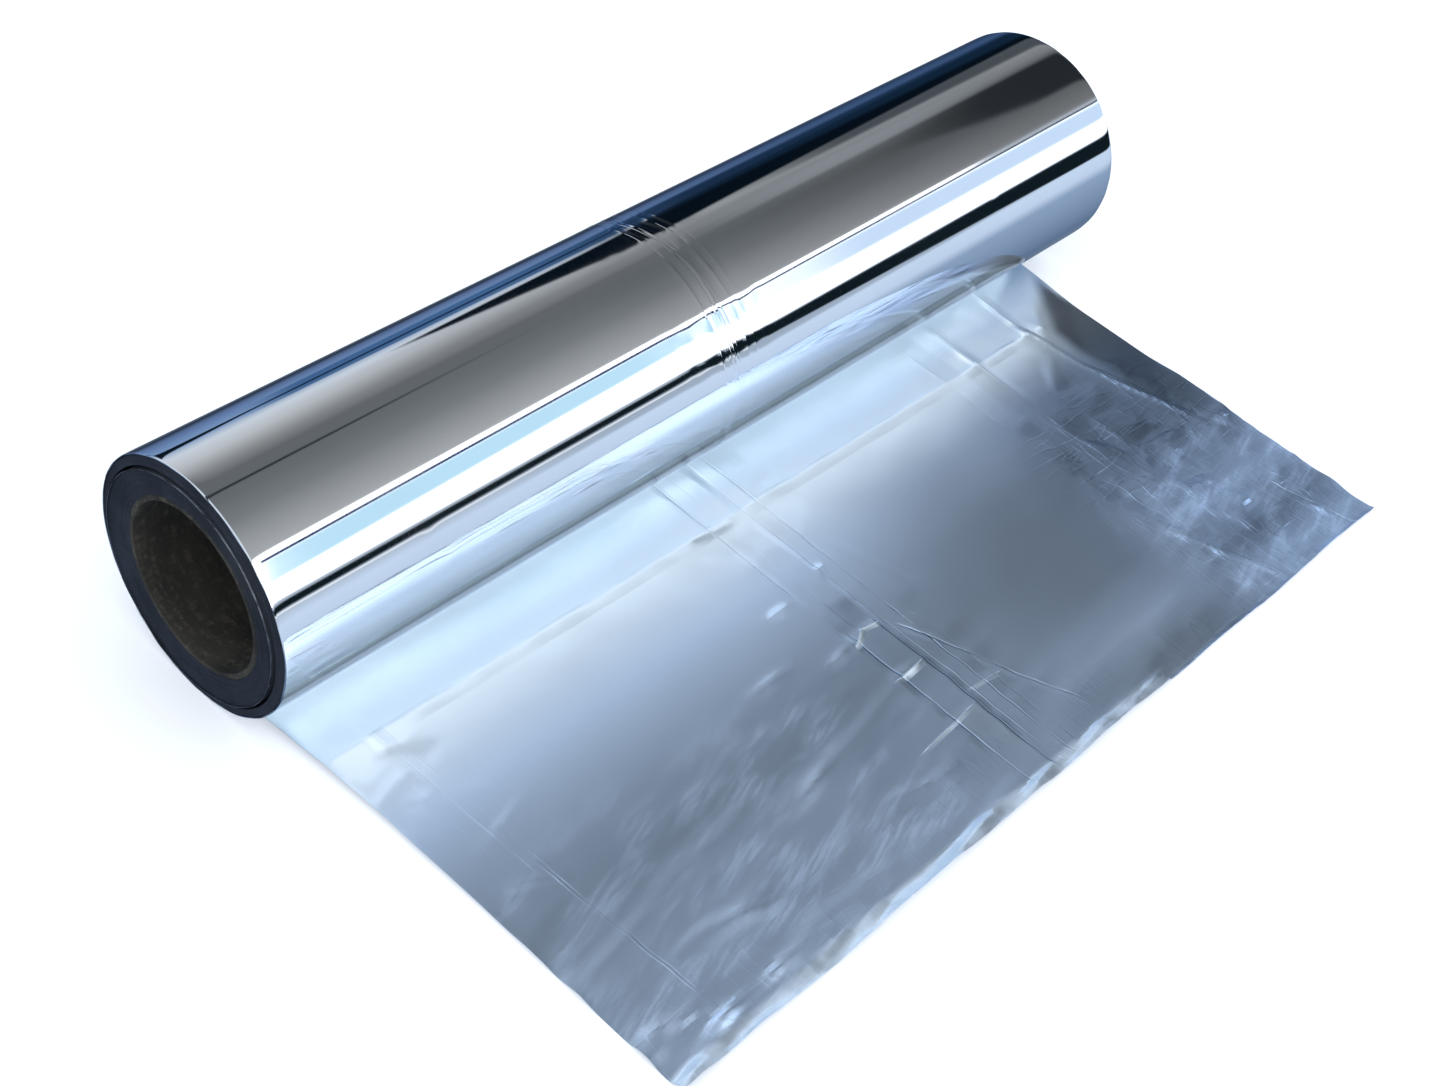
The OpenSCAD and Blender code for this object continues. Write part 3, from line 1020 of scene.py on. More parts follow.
@dataclass
class DrawnSheet:
    """The length of foil drawn out flat in front of the roll, satin side up, with its creases and curled lip.

    In its tables each row is one crease, dent or bulge that shows, with its place across
    and along the sheet and its size in millimetres. leaves_roll is where it comes off the roll.
    """

    left: float = -141.5
    right: float = 138.0
    back: float = 1.0
    front: float = SHEET_FRONT
    leaves_roll: float = -17.0
    thickness: float = 0.10
    columns: int = 330
    rows: int = 142
    lift: float = 1.9
    crease_height: float = 0.26

    def folds(self) -> list[Fold]:
        """Lists the creases that show, each with its start, end, height and widths."""
        return [Fold(*row) for row in (
            ((-6.6, -89), (13.0, -138), 0.22, 1.1, 2.0), ((1.0, -60), (12.0, -90), 0.20, 2.2, 2.6),
            ((-129, -30), (-128, -58), 0.16, 1.2, 3.0), ((-128, -54), (-120, -116), 0.07, 1.1),
            ((90, -22), (88, -72), 0.22, 1.1, 2.6), ((88, -66), (100, -120), 0.10, 1.1),
            ((76, -26), (76, -52), 0.10, 1.2), ((115, -14), (112, -42), 0.40, 1.2, 3.2),
            ((112, -38), (127, -98), 0.34, 1.1, 2.6), ((79, -112), (94, -147), 0.42, 1.1, 2.6),
            ((121, -124), (127, -147), 0.60, 1.2, 3.0), ((-21.8, -89.3), (-8.0, -87.0), 0.30, 1.8, 2.4),
            ((-21.8, -102.8), (-8.0, -102.4), 0.30, 1.8, 2.4), ((-36, -121.8), (-8.0, -119.6), 0.26, 1.6, 2.2),
            ((-9, -76.8), (-1, -75), 0.20, 1.3, 2.2), ((-9.5, -116), (6, -117.8), 0.20, 1.3, 2.2),
            ((-12, -40.5), (-27, -38.5), 0.12, 1.0, 1.8), ((-142, -44.0), (-124, -42.0), 0.10, 1.8, 4.2),
            ((-142, -54.5), (-128, -50), 0.20, 1.6, 3.0), ((-139, -62), (-126, -57), 0.16, 1.4, 2.6),
            ((-136, -87), (-121, -93.5), 0.20, 1.3, 2.4), ((-140, -132), (-117, -138.0), 0.7, 1.8, 4.2),
            ((100, -92), (137, -98), 0.40, 1.2, 4.0), ((84, -108), (118, -112), 0.40, 1.2, 4.0),
            ((104, -121), (138, -126), 0.55, 1.2, 4.5))]

    def relief(self, x: np.ndarray, y: np.ndarray) -> np.ndarray:
        """Gives the height of the satin face above the surface.

        Args:
            x: Place across the sheet in millimetres.
            y: Place along the sheet in millimetres, negative towards the front.

        Returns:
            Height in millimetres.
        """
        loose = ramp(y, -14, -26)
        z = self.ground(x, y)
        z += loose * 0.22 * drift(x, y, 46, 63)
        z += 0.06 * loose * drift(x, y, 11, 65)
        slant = y - 0.16 * x
        waves = ramp(x, 30, -30) * ramp(y, -88, -112) + 0.5 * ramp(y, -112, -132)
        z += waves * 0.85 * drift(x * 0.24, slant, 7.5, 64)
        z += self.dents(x, y)
        z += self.panels(x, y)
        z += loose * self.crumple(x, y)
        wander = 0.5 * drift(x, y, 14, 68)
        for fold in self.folds():
            z += loose * fold.rise(x, y, wander)
        z += self.lip(x, y)
        side = np.minimum(x - self.left, self.right - x)
        z += 0.30 * loose * np.exp(-side / 0.8)
        return 0.5 * (z + np.sqrt(z * z + 0.09)) + self.thickness

    def ground(self, x: np.ndarray, y: np.ndarray) -> np.ndarray:
        """Gives the broad form: off the roll a little above the surface, slowly down, with a crease across."""
        reach = np.clip(self.leaves_roll - y, 0, 125)
        z = self.lift * (1 - reach / 125) ** 1.45
        crest = -37.2 - 0.012 * (x + 141) + 0.5 * drift(x, y * 0, 45, 61)
        past = crest - y
        z += self.crease_height * np.exp(-np.abs(past) / np.where(past < 0, 1.8, 5.0)) * ramp(x, 132, 112)
        corner = ((x - 139.5) * 0.79 - (y + 15) * 0.61) * ramp(y, -80, -48)
        z -= 0.11 * np.maximum(corner, 0)
        under_roll = AXIS_Z - np.sqrt(ROLL_RADIUS ** 2 - np.clip(y, -32, 32) ** 2) - 0.15
        return np.where(y > self.leaves_roll, np.minimum(z, under_roll), z)

    def dents(self, x: np.ndarray, y: np.ndarray) -> np.ndarray:
        """Gives the soft dents that catch the light, each long and slightly slanted."""
        z = np.zeros_like(x)
        for place, run, size, width, height in (
                ((-46, -84), 0.10, 7.0, 2.0, 0.55), ((-27, -69.5), 0.05, 4.0, 1.4, 0.62),
                ((-26, -89), 0.16, 5.0, 1.5, 0.50), ((-62, -112), 0.30, 9.0, 2.0, 0.60),
                ((-98, -126), -0.25, 10.0, 2.4, 0.60), ((-74, -128), 0.10, 12.0, 2.2, 0.50),
                ((-40, -128), -0.20, 10.0, 1.8, 0.50), ((-7, -66), 0.60, 2.6, 1.5, 0.55),
                ((108, -98), 0.30, 9.0, 2.0, 0.50), ((102, -112), 0.50, 10.0, 2.6, 0.70),
                ((128, -121), 0.60, 7.0, 2.2, 0.70), ((132, -98), 0.55, 6.0, 2.0, 0.55),
                ((116, -92), 0.20, 8.0, 1.8, 0.45), ((-122, -74), 0.30, 9.0, 1.6, 0.30),
                ((110, -134), 0.50, 9.0, 2.4, 0.60)):
            along = (x - place[0]) + run * (y - place[1])
            away = (y - place[1]) - run * (x - place[0])
            z += 1.35 * height * np.exp(-(along / size) ** 2 - (away / width) ** 2)
        return z

    def panels(self, x: np.ndarray, y: np.ndarray) -> np.ndarray:
        """Gives the long narrow panels between the lengthwise creases, each tilted sideways in its own way."""
        shown = ramp(y, -14, -26)
        strip = shown * ramp(y, -147, -138) * (0.75 + 0.5 * drift(y, y * 0, 28, 84))
        z = np.zeros_like(x)
        for across, spots, heights, strength in (
                (x + 0.15 * drift(y, y * 0, 22, 83), (-30, -20.4, -18.4, -15.0, -9.7, -7.0, -2.6, 8.0),
                 (0, 0.45, 0.10, 0.42, 0.75, 0.05, 0.60, 0), strip),
                (x + 0.23 * (y + 38), (100, 108, 112.5, 115.2, 118.5, 128),
                 (0, 0.18, 0.62, 0.10, 0.42, 0), shown * ramp(y, -34, -42) * ramp(y, -104, -92)),
                (x + 0.02 * (y + 60), (66, 76, 84, 90, 93.5, 104),
                 (0, 0.16, -0.05, 0.46, 0.08, 0), shown * ramp(y, -96, -72)),
                (x + 0.33 * (y + 104), (60, 72, 79, 82, 94, 104),
                 (0, 0.20, 0.55, 0.10, 0.40, 0), ramp(y, -88, -106))):
            z += np.interp(across, spots, heights) * strength
        return z

    def crumple(self, x: np.ndarray, y: np.ndarray) -> np.ndarray:
        """Gives the crumpled patches: at the left edge, the creased strip, the right, the front and far back."""
        right = ramp(x, 62, 90) * ramp(y, -44, -72)
        z = np.zeros_like(x)
        for strength, corners, cell, seed in (
                (0.28 * ramp(x, -112, -120) * ramp(y, -36, -43) * ramp(y, -70, -60),
                 (-143, -74, -110, -34), 6.5, 31),
                (0.16 * ramp(x, -40, -22) * ramp(x, 20, 4) * ramp(y, -24, -40), (-46, -147, 26, -16), 7.0, 32),
                (0.70 * right, (58, -147, 140, -40), 7.5, 33),
                (0.38 * right * ramp(y, -80, -100), (58, -147, 140, -40), 3.6, 34),
                (0.26 * ramp(y, -126, -140), (-142, -148, 139, -118), 7.5, 35),
                (0.13 * ramp(x, 70, 100) * ramp(y, -12, -18) * ramp(y, -46, -38),
                 (66, -50, 139, -10), 7.0, 36)):
            z += strength * crumpled(x, y, corners, cell, seed)
        return z

    def lip(self, x: np.ndarray, y: np.ndarray) -> np.ndarray:
        """Gives the curl of the cut front edge, uneven and bulging in places, low to the right."""
        depth = 4.4 + 1.3 * drift(x, y * 0, 16, 69) + 0.8 * drift(x, y * 0, 6, 70)
        depth = np.where(x > 36, 1.6 + 0.4 * drift(x, y * 0, 10, 71), depth)
        into = np.clip((self.front + depth - y) / depth, 0, 1)
        tall = (1.9 + 0.7 * drift(x, y * 0, 11, 72)) * np.where(x > 36, 0.45, 1.0)
        z = tall * into ** 1.2 + 0.25 * into * drift(x, y, 3.4, 74)
        for place, middle, size, width, height in (
                (-122, -140.0, 6.0, 1.9, 1.5), (-137, -145.5, 4.0, 1.6, 1.3), (-105, -139.5, 5.0, 1.6, 0.9),
                (-91, -142, 5.0, 1.5, 0.9), (-76, -143.5, 6.0, 1.4, 0.5), (-38, -144.5, 10.0, 1.5, 0.9),
                (-16, -145, 8.0, 1.5, 0.9), (6, -145, 5.0, 1.4, 0.5), (30, -145, 7.0, 1.4, 0.7),
                (101, -144.5, 5.0, 1.8, 0.9), (124, -137, 3.0, 1.6, 0.9)):
            z += height * np.exp(-((x - place) / size) ** 2 - ((y - middle - 0.12 * (x - place)) / width) ** 2)
        return z

    def spacing(self, u: np.ndarray) -> np.ndarray:
        """Spreads the columns, closer together where the lengthwise creases are."""
        x = self.left + np.linspace(0, 1, 2001) * (self.right - self.left)
        density = 1.0 + 1.1 * ramp(x, -30, -24) * ramp(x, 18, 8)
        density = density + 0.4 * ramp(x, 70, 80) + 0.4 * ramp(x, -114, -124)
        return self.spread(u, x, density)

    def row_spacing(self, v: np.ndarray) -> np.ndarray:
        """Spreads the rows, closer together at the ridge near the roll, the cross folds and the lip."""
        y = self.front + np.linspace(0, 1, 2001) * (self.back - self.front)
        density = 1.0 + 1.6 * ramp(y, -137, -141) + 0.8 * ramp(y, -43, -40) * ramp(y, -32, -35)
        density += 0.3 * ramp(y, -130, -124) * ramp(y, -78, -84) - 0.5 * ramp(y, -16, -10)
        return self.spread(v, y, density)

    @staticmethod
    def spread(share: np.ndarray, places: np.ndarray, density: np.ndarray) -> np.ndarray:
        """Places even shares so that more of them fall where the density is higher."""
        total = np.concatenate([[0], np.cumsum((density[1:] + density[:-1]) / 2)])
        return np.interp(share, total / total[-1], places)

    def pleats(self) -> tuple[Pleats, ...]:
        """Lists the crisp creases, each row with its origin, length, lean, stops and fade."""
        rows = (
            # The strip near the middle: behind, in front, and its diagonal
            ((0, -14), 78, 0.0, (
                (-27, 0.0), *ridge(-20.5, -0.10, 0.28), *ridge(-19.9, 0.05, 0.28), *ridge(-15.4, -0.07, 0.28),
                *ridge(-7.9, -0.12), *ridge(-7.2, 0.07), *ridge(-2.9, -0.11), *ridge(-2.2, 0.07),
                (5.0, 0.0)), 0.06),
            ((0, -84), 62, 0.0, (
                (-25, 0.0), *ridge(-18.5, -0.20), *ridge(-17.8, 0.06), (-10.6, 0.03), *ridge(-9.7, -0.24),
                (-9.2, -0.07), *ridge(-7.5, -0.07, 0.1), *ridge(-6.9, 0.10), *ridge(-3.0, -0.12, 0.28),
                *ridge(-2.4, 0.05, 0.28), *ridge(0.8, -0.08), (6, 0.0)), 0.05),
            ((-6.4, -88), 53, 21.6, (
                (-5, 0.0), (-1.0, 0.0), (-0.5, -0.14), (0.0, 0.15), (1.3, 0.05), (4.9, 0.05), (5.2, 0.08),
                (5.5, 0.0), (9, 0.0))),
            # The folds across the strip: both sides of the arch, then the others towards the front
            ((-20.9, -89.9), 7.6, 121.0, ((-1.5, 0.0), (0.0, 0.85), (0.3, 0.0)), 0.3),
            ((-15.6, -86.0), 7.2, 80.0, ((-1.5, 0.0), (0.0, 0.80), (0.3, 0.0)), 0.3),
            ((-22.5, -103.4), 13.5, 93.0, ((-1.7, 0.0), (0.0, 0.85), (0.35, 0.0)), 0.5),
            ((-36.0, -121.8), 27.0, 94.5, ((-1.0, 0.0), (0.0, 0.50), (0.3, 0.0)), 0.45),
            ((-9.6, -116.0), 14.5, 84.0, ((-1.0, 0.0), (0.0, 0.35), (0.3, 0.0)), 0.35),
            # The strip's dark panel and its light one, and the crest across the sheet near the roll
            ((-14.2, -73), 15, 0.0, ((-6.4, 0.0), (-5.8, -0.09), (4.6, -0.07), (5.2, 0.0)), 0.35),
            ((-14.0, -118.5), 25, 0.0, ((-4.6, 0.0), (-4.0, 0.09), (3.6, 0.07), (4.2, 0.0)), 0.15),
            ((-140, -37.2), 252, 89.3, ((-3.5, 0.0), (-0.3, 0.15), (0.1, 0.16), (0.9, 0.0), (3.5, 0.0)), 0.05),
            # The left, and the right with its three parts
            ((-129, -30), 62, 3.0, (
                (-8, 0.0), *ridge(-4.0, 0.03), *ridge(0.0, 0.05, 0.3, 0.02), *ridge(2.6, -0.05), (7, 0.0))),
            ((112.5, -36), 66, 13.5, (
                (-8, 0.0), *ridge(-5.0, 0.05), *ridge(0.0, 0.18, 0.35, 0.06), *ridge(5.6, 0.08, 0.28),
                (9, 0.0))),
            ((90, -20), 56, -1.0, (
                (-18, 0.0), *ridge(-14.0, 0.08, 0.28), *ridge(-6.0, 0.05, 0.25), *ridge(0.0, 0.15, 0.32, 0.05),
                (10, 0.0))),
            ((79, -100), 50, 17.0, (
                (-8, 0.0), *ridge(-4.5, 0.04), *ridge(0.0, 0.18, 0.34, 0.06), *ridge(7.0, 0.07),
                *ridge(15.0, 0.06), (22, 0.0))),
            # The left edge's front, the right's back end and the front right corner
            ((-124.5, -84), 60, 4.5, ((-6, 0.0), *ridge(0.0, 0.05, 0.28, 0.02), *ridge(0.6, -0.05), (8, 0.0))),
            ((114.5, -13), 30, -3.0, ((-6, 0.0), *ridge(-3.2, 0.04), *ridge(0.0, 0.16, 0.32, 0.05), (7, 0.0))),
            ((121, -120), 30, 13.0, ((-10, 0.0), *ridge(-7.0, 0.05), *ridge(0.0, 0.20, 0.34, 0.08), (8, 0.0))),
        )
        return tuple(Pleats(*row) for row in rows)

    def build(self) -> bpy.types.Object:
        """Lays the grid, works its relief and gives it its thickness.

        Returns:
            The finished sheet.
        """
        bpy.ops.object.select_all(action="DESELECT")
        bpy.ops.mesh.primitive_grid_add(x_subdivisions=self.columns, y_subdivisions=self.rows, size=1.0)
        obj = bpy.context.object
        obj.name = obj.data.name = "foil_sheet"
        u = points_of(obj) * MM
        x = self.spacing(np.clip(u[:, 0] + 0.5, 0, 1))
        y = self.row_spacing(np.clip(u[:, 1] + 0.5, 0, 1))
        edge_wave = 0.25 * drift(y, y * 0, 30, 81)
        x_edge = x + edge_wave * (np.exp(-(x - self.left) / 3) + np.exp(-(self.right - x) / 3))
        share = (x - self.left) / (self.right - self.left)
        forward = np.clip((self.leaves_roll - y) / 128, 0, 1)
        left_shift = np.interp(y, (-147, -100, -60, -37, -17), (1.1, 0.7, -0.2, -1.5, -3.3))
        x_edge += (1 - share) * left_shift + share * (0.2 - 2.2 * forward)
        y_edge = y + 0.5 * drift(x, x * 0, 34, 82) * ramp(y, -138, -147)
        put_points(obj, np.column_stack([x_edge, y_edge, self.relief(x, y)]))
        obj.data.materials.append(SatinFoil(self.pleats()).build())
        obj.data.materials.append(MirrorFoil().build())
        bpy.ops.object.shade_smooth()
        wall = obj.modifiers.new("thickness", "SOLIDIFY")
        wall.thickness = self.thickness * MM
        wall.offset = -1.0
        wall.material_offset = 1
        bpy.ops.object.modifier_apply(modifier=wall.name)
        bpy.ops.object.shade_smooth_by_angle(angle=math.radians(15))
        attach(obj, "root")
        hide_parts("foil_web")
        return obj


# ------------------------------------------------------------------------ core


@dataclass
class CardCore:
    """The card tube that the foil is wound on."""

    length: float = ROLL_LENGTH
    bore: float = 21.0
    outside: float = 22.38
    axis_z: float = AXIS_Z
    segments: int = 160

    def build(self) -> bpy.types.Object:
        """Spins the tube with softened rims.

        Returns:
            The finished core.
        """
        half = self.length / 2
        near_rim = [(-half + 0.35, self.bore), (-half + 0.12, self.bore + 0.06), (-half + 0.02, self.bore + 0.30),
                    (-half + 0.02, self.outside - 0.25), (-half + 0.2, self.outside)]
        far_rim = [(-x, radius) for x, radius in reversed(near_rim)]
        inside = [(x, self.bore) for x in np.linspace(half - 6, -half + 6, 40)]
        obj = spun_profile("card_core", near_rim + far_rim + inside, self.axis_z, self.segments)
        places = points_of(obj)
        x, y, z = places[:, 0], places[:, 1], places[:, 2] - self.axis_z
        away, angle = np.hypot(y, z), np.arctan2(z, y)
        rough = 0.04 * drift(angle * 7, x * 0.2, 1.0, 91) * ramp(np.abs(x), 149.2, 150)
        x = x - np.sign(x) * np.abs(rough)
        seam = 0.05 * np.exp(-(((x - 18 * angle) % 58 - 29) / 0.9) ** 2)
        scale = np.where(away < self.bore + 0.02, 1 + seam / self.bore, 1.0)
        put_points(obj, np.column_stack([x, y * scale, self.axis_z + z * scale]))
        obj.data.materials.append(CoreCard().build())
        select_only(obj)
        bpy.ops.object.shade_smooth_by_angle(angle=math.radians(40))
        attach(obj, "root")
        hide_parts("core_tube")
        return obj


# ---------------------------------------------------------------------- studio


@dataclass(frozen=True)
class StudioCard:
    """One lit or dark card of the studio, a strip along the roll that the mirror side reflects.

    Angles are in degrees from the front horizon, upwards over the roll: 90 is overhead, 180 the
    back horizon, and less than 0 the floor in front. near and far give the strip's lower and
    upper angle for the roll's near and far end, and reach its start and end between the two.
    """

    name: str
    colour: str | Colour
    near: tuple[float, float]
    far: tuple[float, float]
    soft: float = 1.0
    reach: tuple[float, float] = (-9.0, 9.0)
    fade: float = 0.02
    opacity: float = 1.0

    def settings(self) -> dict[str, float]:
        """Lists what the card's mask is fed with, by the names of its sockets."""
        return {"Low near": self.near[0], "Low far": self.far[0], "High near": self.near[1],
                "High far": self.far[1], "Soft": self.soft, "From": self.reach[0], "To": self.reach[1],
                "Fade": self.fade}


@dataclass
class Studio:
    """The floor, the light, the cards round the object, and the camera.

    eye is in millimetres and the lamp and floor are in metres. near_view and far_view are how far
    sideways the camera's mirrored view points at the roll's near and far end, and cards_end is the
    share between them past which the cards change no more.
    """

    eye: tuple[float, float, float] = (-344.0, -268.8, 382.7)
    lens: float = 53.85
    heading: float = -0.964598
    climb: float = 0.769278
    lean: float = 0.217251
    plain_light: Colour = (0.80, 0.91, 1.06)
    near_view: float = 0.402
    far_view: float = 0.745
    cards_end: float = 1.03
    floor_size: float = 12.0
    floor_drop: float = 0.00002
    lamp_place: tuple[float, float, float] = (-0.2, -0.5, 1.3)
    lamp_aim: tuple[float, float, float] = (0.0, -0.05, 0.0)
    lamp_power: float = 6.0

    def surroundings(self) -> list[tuple[float, Colour]]:
        """Lists the plain surroundings by angle: floor, front, ceiling, back and floor again."""
        return [(angle, tone(code)) for angle, code in (
            (-90, "#5d7391"), (-28, "#8ba3c1"), (-18, "#c1d4ee"), (-6, "#c6daf3"), (2, "#b2c1d4"),
            (52, "#a7abaf"), (84, "#777c81"), (100, "#686d71"), (112, "#62676b"), (121, "#63676b"),
            (132, "#898d90"), (147, "#babfc5"), (161, "#c9d3de"), (167, "#a9b9cf"), (172, "#7d9bc4"),
            (187, "#6480ac"), (196, "#586f95"), (204, "#344058"), (209, "#2b3547"), (226, "#7c8797"),
            (270, "#5d7391"))]

    def cards(self) -> list[StudioCard]:
        """Lists the cards, each laid over the ones before it."""
        return [StudioCard(*row) for row in (
            ("ceiling falls off", "#16181a", (50, 112), (50, 112), 8.0, (0.80, 9.0), 0.35, 0.6),
            ("side window", "#d9e6f4", (20, 165), (20, 165), 8.0, (-9.0, -0.75), 0.45),
            ("window", WINDOW_WHITE, (12.5, 50.4), (13, 52.2), 0.7),
            ("window top, far", "#868f99", (49.0, 53.5), (49.0, 53.5), 0.8, (0.95, 9.0), 0.02, 0.9),
            ("window sky, near", "#bde5fb", (26.0, 43.8), (36, 48), 2.2, (0.02, 0.70), 0.15),
            ("window sky, far", "#c4dcf9", (31, 46.6), (29, 47.6), 3.0, (0.74, 9.0), 0.10, 0.97),
            ("window bar, near", "#142a60", (43.5, 45.5), (47.6, 49.6), 0.25, (0.012, 0.66), 0.006),
            ("window bar, far", "#3d4a66", (43.6, 45.4), (47.8, 49.5), 0.3, (0.66, 9.0), 0.01),
            ("low dusk", "#8f9fb2", (-4.0, 4.0), (-4.0, 4.0), 1.5, (0.42, 9.0), 0.12, 0.65),
            ("low flag", "#0f1a21", (4.2, 10.1), (4.6, 10.7), 1.2),
            ("low flag, far", "#0f1a21", (17.5, 11.5), (-3.5, 11.7), 0.8, (0.62, 9.0), 0.02),
            ("flag edge", "#f4f9ff", (2.0, 3.4), (2.0, 3.4), 0.5, (-9.0, 0.66), 0.05, 0.8),
            ("ceiling joint", "#2c3136", (108.2, 110.4), (110.2, 111.2), 0.35, (-9.0, 0.36), 0.18),
            ("far flag", "#25292d", (257.0, 118.5), (82.5, 118.5), 3.4, (0.93, 9.0), 0.07),
            ("far ceiling, light", "#8a9096", (117, 134), (117, 134), 3.0, (0.72, 0.97), 0.10, 0.75),
            ("middle ceiling", "#4a5056", (127, 152), (129, 164), 5.0, (0.30, 9.0), 0.20, 0.22),
            ("middle ceiling, far", "#3f464c", (143, 164), (140, 164), 4.0, (0.70, 9.0), 0.12, 0.5),
            ("far ceiling", "#353d44", (140, 162), (137, 162), 3.0, (0.80, 9.0), 0.07, 0.85),
            ("blue dusk", "#375c89", (168.5, 184), (166.5, 184), 1.5, (0.18, 9.0), 0.05, 0.9),
            ("back flag, middle", "#06101a", (181.7, 156.2), (114.7, 168.2), 1.6, (0.34, 0.66), 0.05),
            ("back flag, far", "#06101a", (118.0, 148.0), (152.5, 178.0), 2.0, (0.62, 9.0), 0.05),
            ("dusk behind", "#12253c", (166.0, 182.0), (163.0, 186.0), 4.0, (0.58, 9.0), 0.14, 0.92),
            ("dusk floor", "#2a4368", (182.0, 208.0), (182.0, 208.0), 4.0, (0.68, 9.0), 0.25, 0.8),
            ("back line", "#11233a", (173.4, 175.6), (173.0, 176.0), 0.5, (-9.0, 0.62), 0.08),
            ("back line, near", "#0c1723", (168.4, 175.8), (201.0, 175.0), 0.7, (-0.12, 0.16), 0.02))]

    @staticmethod
    def card_mask() -> bpy.types.NodeTree:
        """Makes the node group that gives where one card shows."""
        group = bpy.data.node_groups.new("studio_card_mask", "ShaderNodeTree")
        for name in ("Angle", "Along", "Low near", "Low far", "High near", "High far", "Soft", "From", "To",
                     "Fade"):
            group.interface.new_socket(name, in_out="INPUT", socket_type="NodeSocketFloat")
        group.interface.new_socket("Mask", in_out="OUTPUT", socket_type="NodeSocketFloat")
        w = Wiring(group)
        given = w.add("NodeGroupInput").outputs
        result = w.add("NodeGroupOutput")

        def passage(value: str, place: object, soft: str, start: float, end: float) -> bpy.types.NodeSocket:
            """Goes from start to end where the value passes the place, over soft to either side."""
            before, after = w.math("SUBTRACT", place, given[soft]), w.math("ADD", place, given[soft])
            return w.span(given[value], before, after, start, end)

        edges = []
        for near, far in (("Low near", "Low far"), ("High near", "High far")):
            slope = w.math("SUBTRACT", given[far], given[near])
            edges.append(w.math("MULTIPLY_ADD", slope, given["Along"], given[near]))
        band = w.times(passage("Angle", edges[0], "Soft", 0.0, 1.0), passage("Angle", edges[1], "Soft", 1.0, 0.0))
        run = w.times(passage("Along", given["From"], "Fade", 0.0, 1.0),
                      passage("Along", given["To"], "Fade", 1.0, 0.0))
        w.feed(result.inputs["Mask"], w.times(band, run))
        return group

    def build_world(self) -> None:
        """Makes the world: white to the camera, plain to matt surfaces, the studio's cards to shiny ones."""
        world = bpy.data.worlds.new("studio")
        bpy.context.scene.world = world
        world.use_nodes = True
        world.cycles.sampling_method = "NONE"
        w = Wiring(world.node_tree)
        sideways, forward, upward = w.parts(w.add("ShaderNodeTexCoord").outputs["Generated"])
        angle = w.math("MULTIPLY_ADD", w.math("ARCTAN2", forward, upward), 180 / math.pi, 90.0)
        along = w.math("DIVIDE", w.math("SUBTRACT", sideways, self.near_view), self.far_view - self.near_view)
        held = w.math("MINIMUM", w.math("MAXIMUM", along, -1.6), self.cards_end)
        colour = w.lookup(w.math("DIVIDE", w.math("ADD", angle, 90.0), 360.0), self.surroundings())
        mask_group = self.card_mask()
        for card in self.cards():
            mask = w.add("ShaderNodeGroup", node_tree=mask_group, label=card.name)
            w.feed(mask.inputs["Angle"], angle)
            w.feed(mask.inputs["Along"], held)
            for name, value in card.settings().items():
                mask.inputs[name].default_value = value
            light = tone(card.colour) if isinstance(card.colour, str) else card.colour
            colour = w.blend(w.times(mask.outputs["Mask"], card.opacity), colour, light)
        # Three backgrounds and not one mixed colour, so that each ray works out only the one that it sees
        world.node_tree.nodes.remove(world.node_tree.nodes["Background"])
        path = w.add("ShaderNodeLightPath").outputs
        seen = w.backdrop((*self.plain_light, 1.0))
        for ray, shown in (("Is Glossy Ray", w.backdrop(colour)), ("Is Camera Ray", w.backdrop((*WHITE, 1.0)))):
            choice = w.add("ShaderNodeMixShader")
            for socket, value in zip(choice.inputs, (path[ray], seen, shown)):
                w.feed(socket, value)
            seen = choice.outputs[0]
        w.feed(world.node_tree.nodes["World Output"].inputs["Surface"], seen)

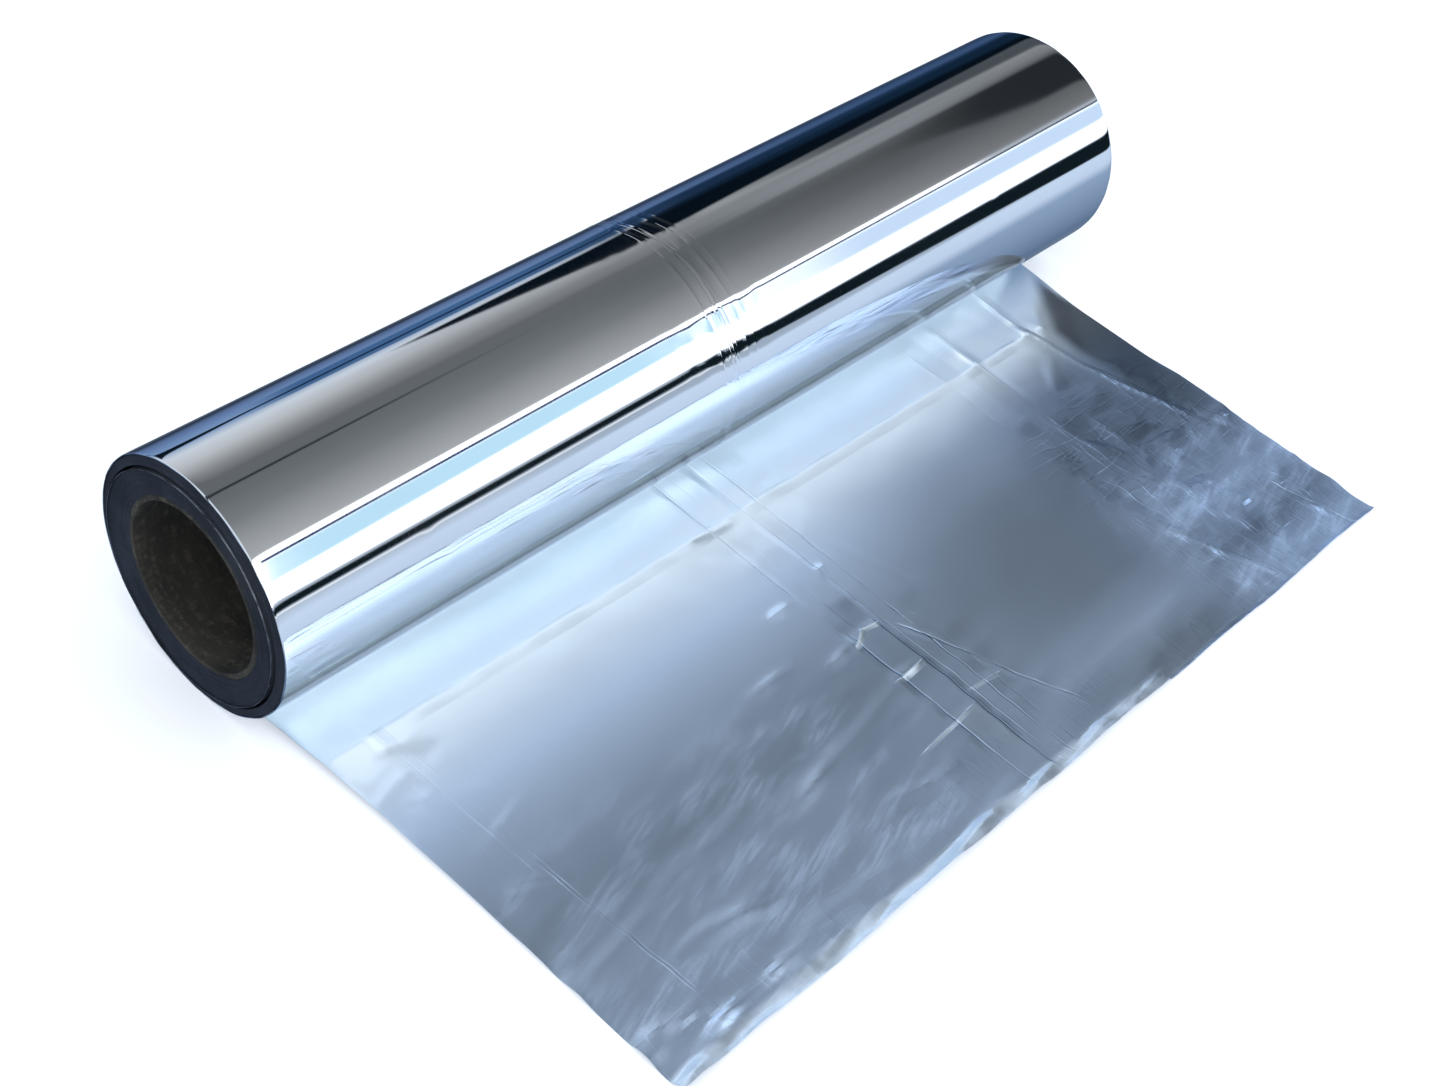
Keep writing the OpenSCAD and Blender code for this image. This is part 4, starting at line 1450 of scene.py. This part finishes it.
    def build_floor(self) -> None:
        """Lays the pale floor, white to the camera where no shadow falls on it."""
        bpy.ops.object.select_all(action="DESELECT")
        bpy.ops.mesh.primitive_plane_add(size=self.floor_size, location=(0.0, 0.0, -self.floor_drop))
        floor = bpy.context.object
        floor.name = "floor"
        material, w, shader = new_finish("floor_white")
        shader.inputs["Base Color"].default_value = (0.80, 0.80, 0.81, 1.0)
        shader.inputs["Roughness"].default_value = 1.0
        shader.inputs["Specular IOR Level"].default_value = 0.0
        shader.inputs["Emission Color"].default_value = (*WHITE, 1.0)
        path = w.add("ShaderNodeLightPath").outputs
        w.feed(shader.inputs["Emission Strength"], w.times(path["Is Camera Ray"], 0.34))
        floor.data.materials.append(material)
        floor.visible_glossy = False

    def build_lamp(self) -> None:
        """Hangs one wide soft lamp over the object."""
        lamp = bpy.data.lights.new("overhead_softbox", "AREA")
        lamp.shape = "RECTANGLE"
        lamp.size, lamp.size_y = 1.6, 1.2
        lamp.energy = self.lamp_power
        holder = bpy.data.objects.new("overhead_softbox", lamp)
        bpy.context.scene.collection.objects.link(holder)
        holder.location = self.lamp_place
        holder.rotation_mode = "QUATERNION"
        holder.rotation_quaternion = (Vector(self.lamp_aim) - holder.location).to_track_quat("-Z", "Y")
        holder.visible_glossy = False

    def build_camera(self) -> None:
        """Sets the camera at the photograph's viewing angle."""
        data = bpy.data.cameras.new("camera")
        data.sensor_width = 36.0
        data.lens = self.lens
        data.clip_start, data.clip_end = 0.01, 50.0
        camera = bpy.data.objects.new("camera", data)
        bpy.context.scene.collection.objects.link(camera)
        a, e = self.heading, self.climb
        back = Vector((math.sin(a) * math.cos(e), -math.cos(a) * math.cos(e), math.sin(e)))
        right = Vector((math.cos(a), math.sin(a), 0.0))
        up = back.cross(right)
        turned_right = right * math.cos(self.lean) + up * math.sin(self.lean)
        turned_up = up * math.cos(self.lean) - right * math.sin(self.lean)
        axes = Matrix((turned_right, turned_up, back)).transposed()
        camera.matrix_world = Matrix.Translation(Vector(self.eye) * MM) @ axes.to_4x4()
        bpy.context.scene.camera = camera

    def build(self) -> None:
        """Sets up the whole studio."""
        bpy.context.scene.view_settings.view_transform = "Standard"
        self.build_world()
        self.build_floor()
        self.build_lamp()
        self.build_camera()


def main() -> None:
    logging.basicConfig(level=logging.INFO, format="%(message)s")
    for maker in (WoundRoll(), DrawnSheet(), CardCore()):
        piece = maker.build()
        piece.data.calc_loop_triangles()
        log.info("%s: %d triangles", piece.name, len(piece.data.loop_triangles))
    Studio().build()


if __name__ == "__main__":
    main()
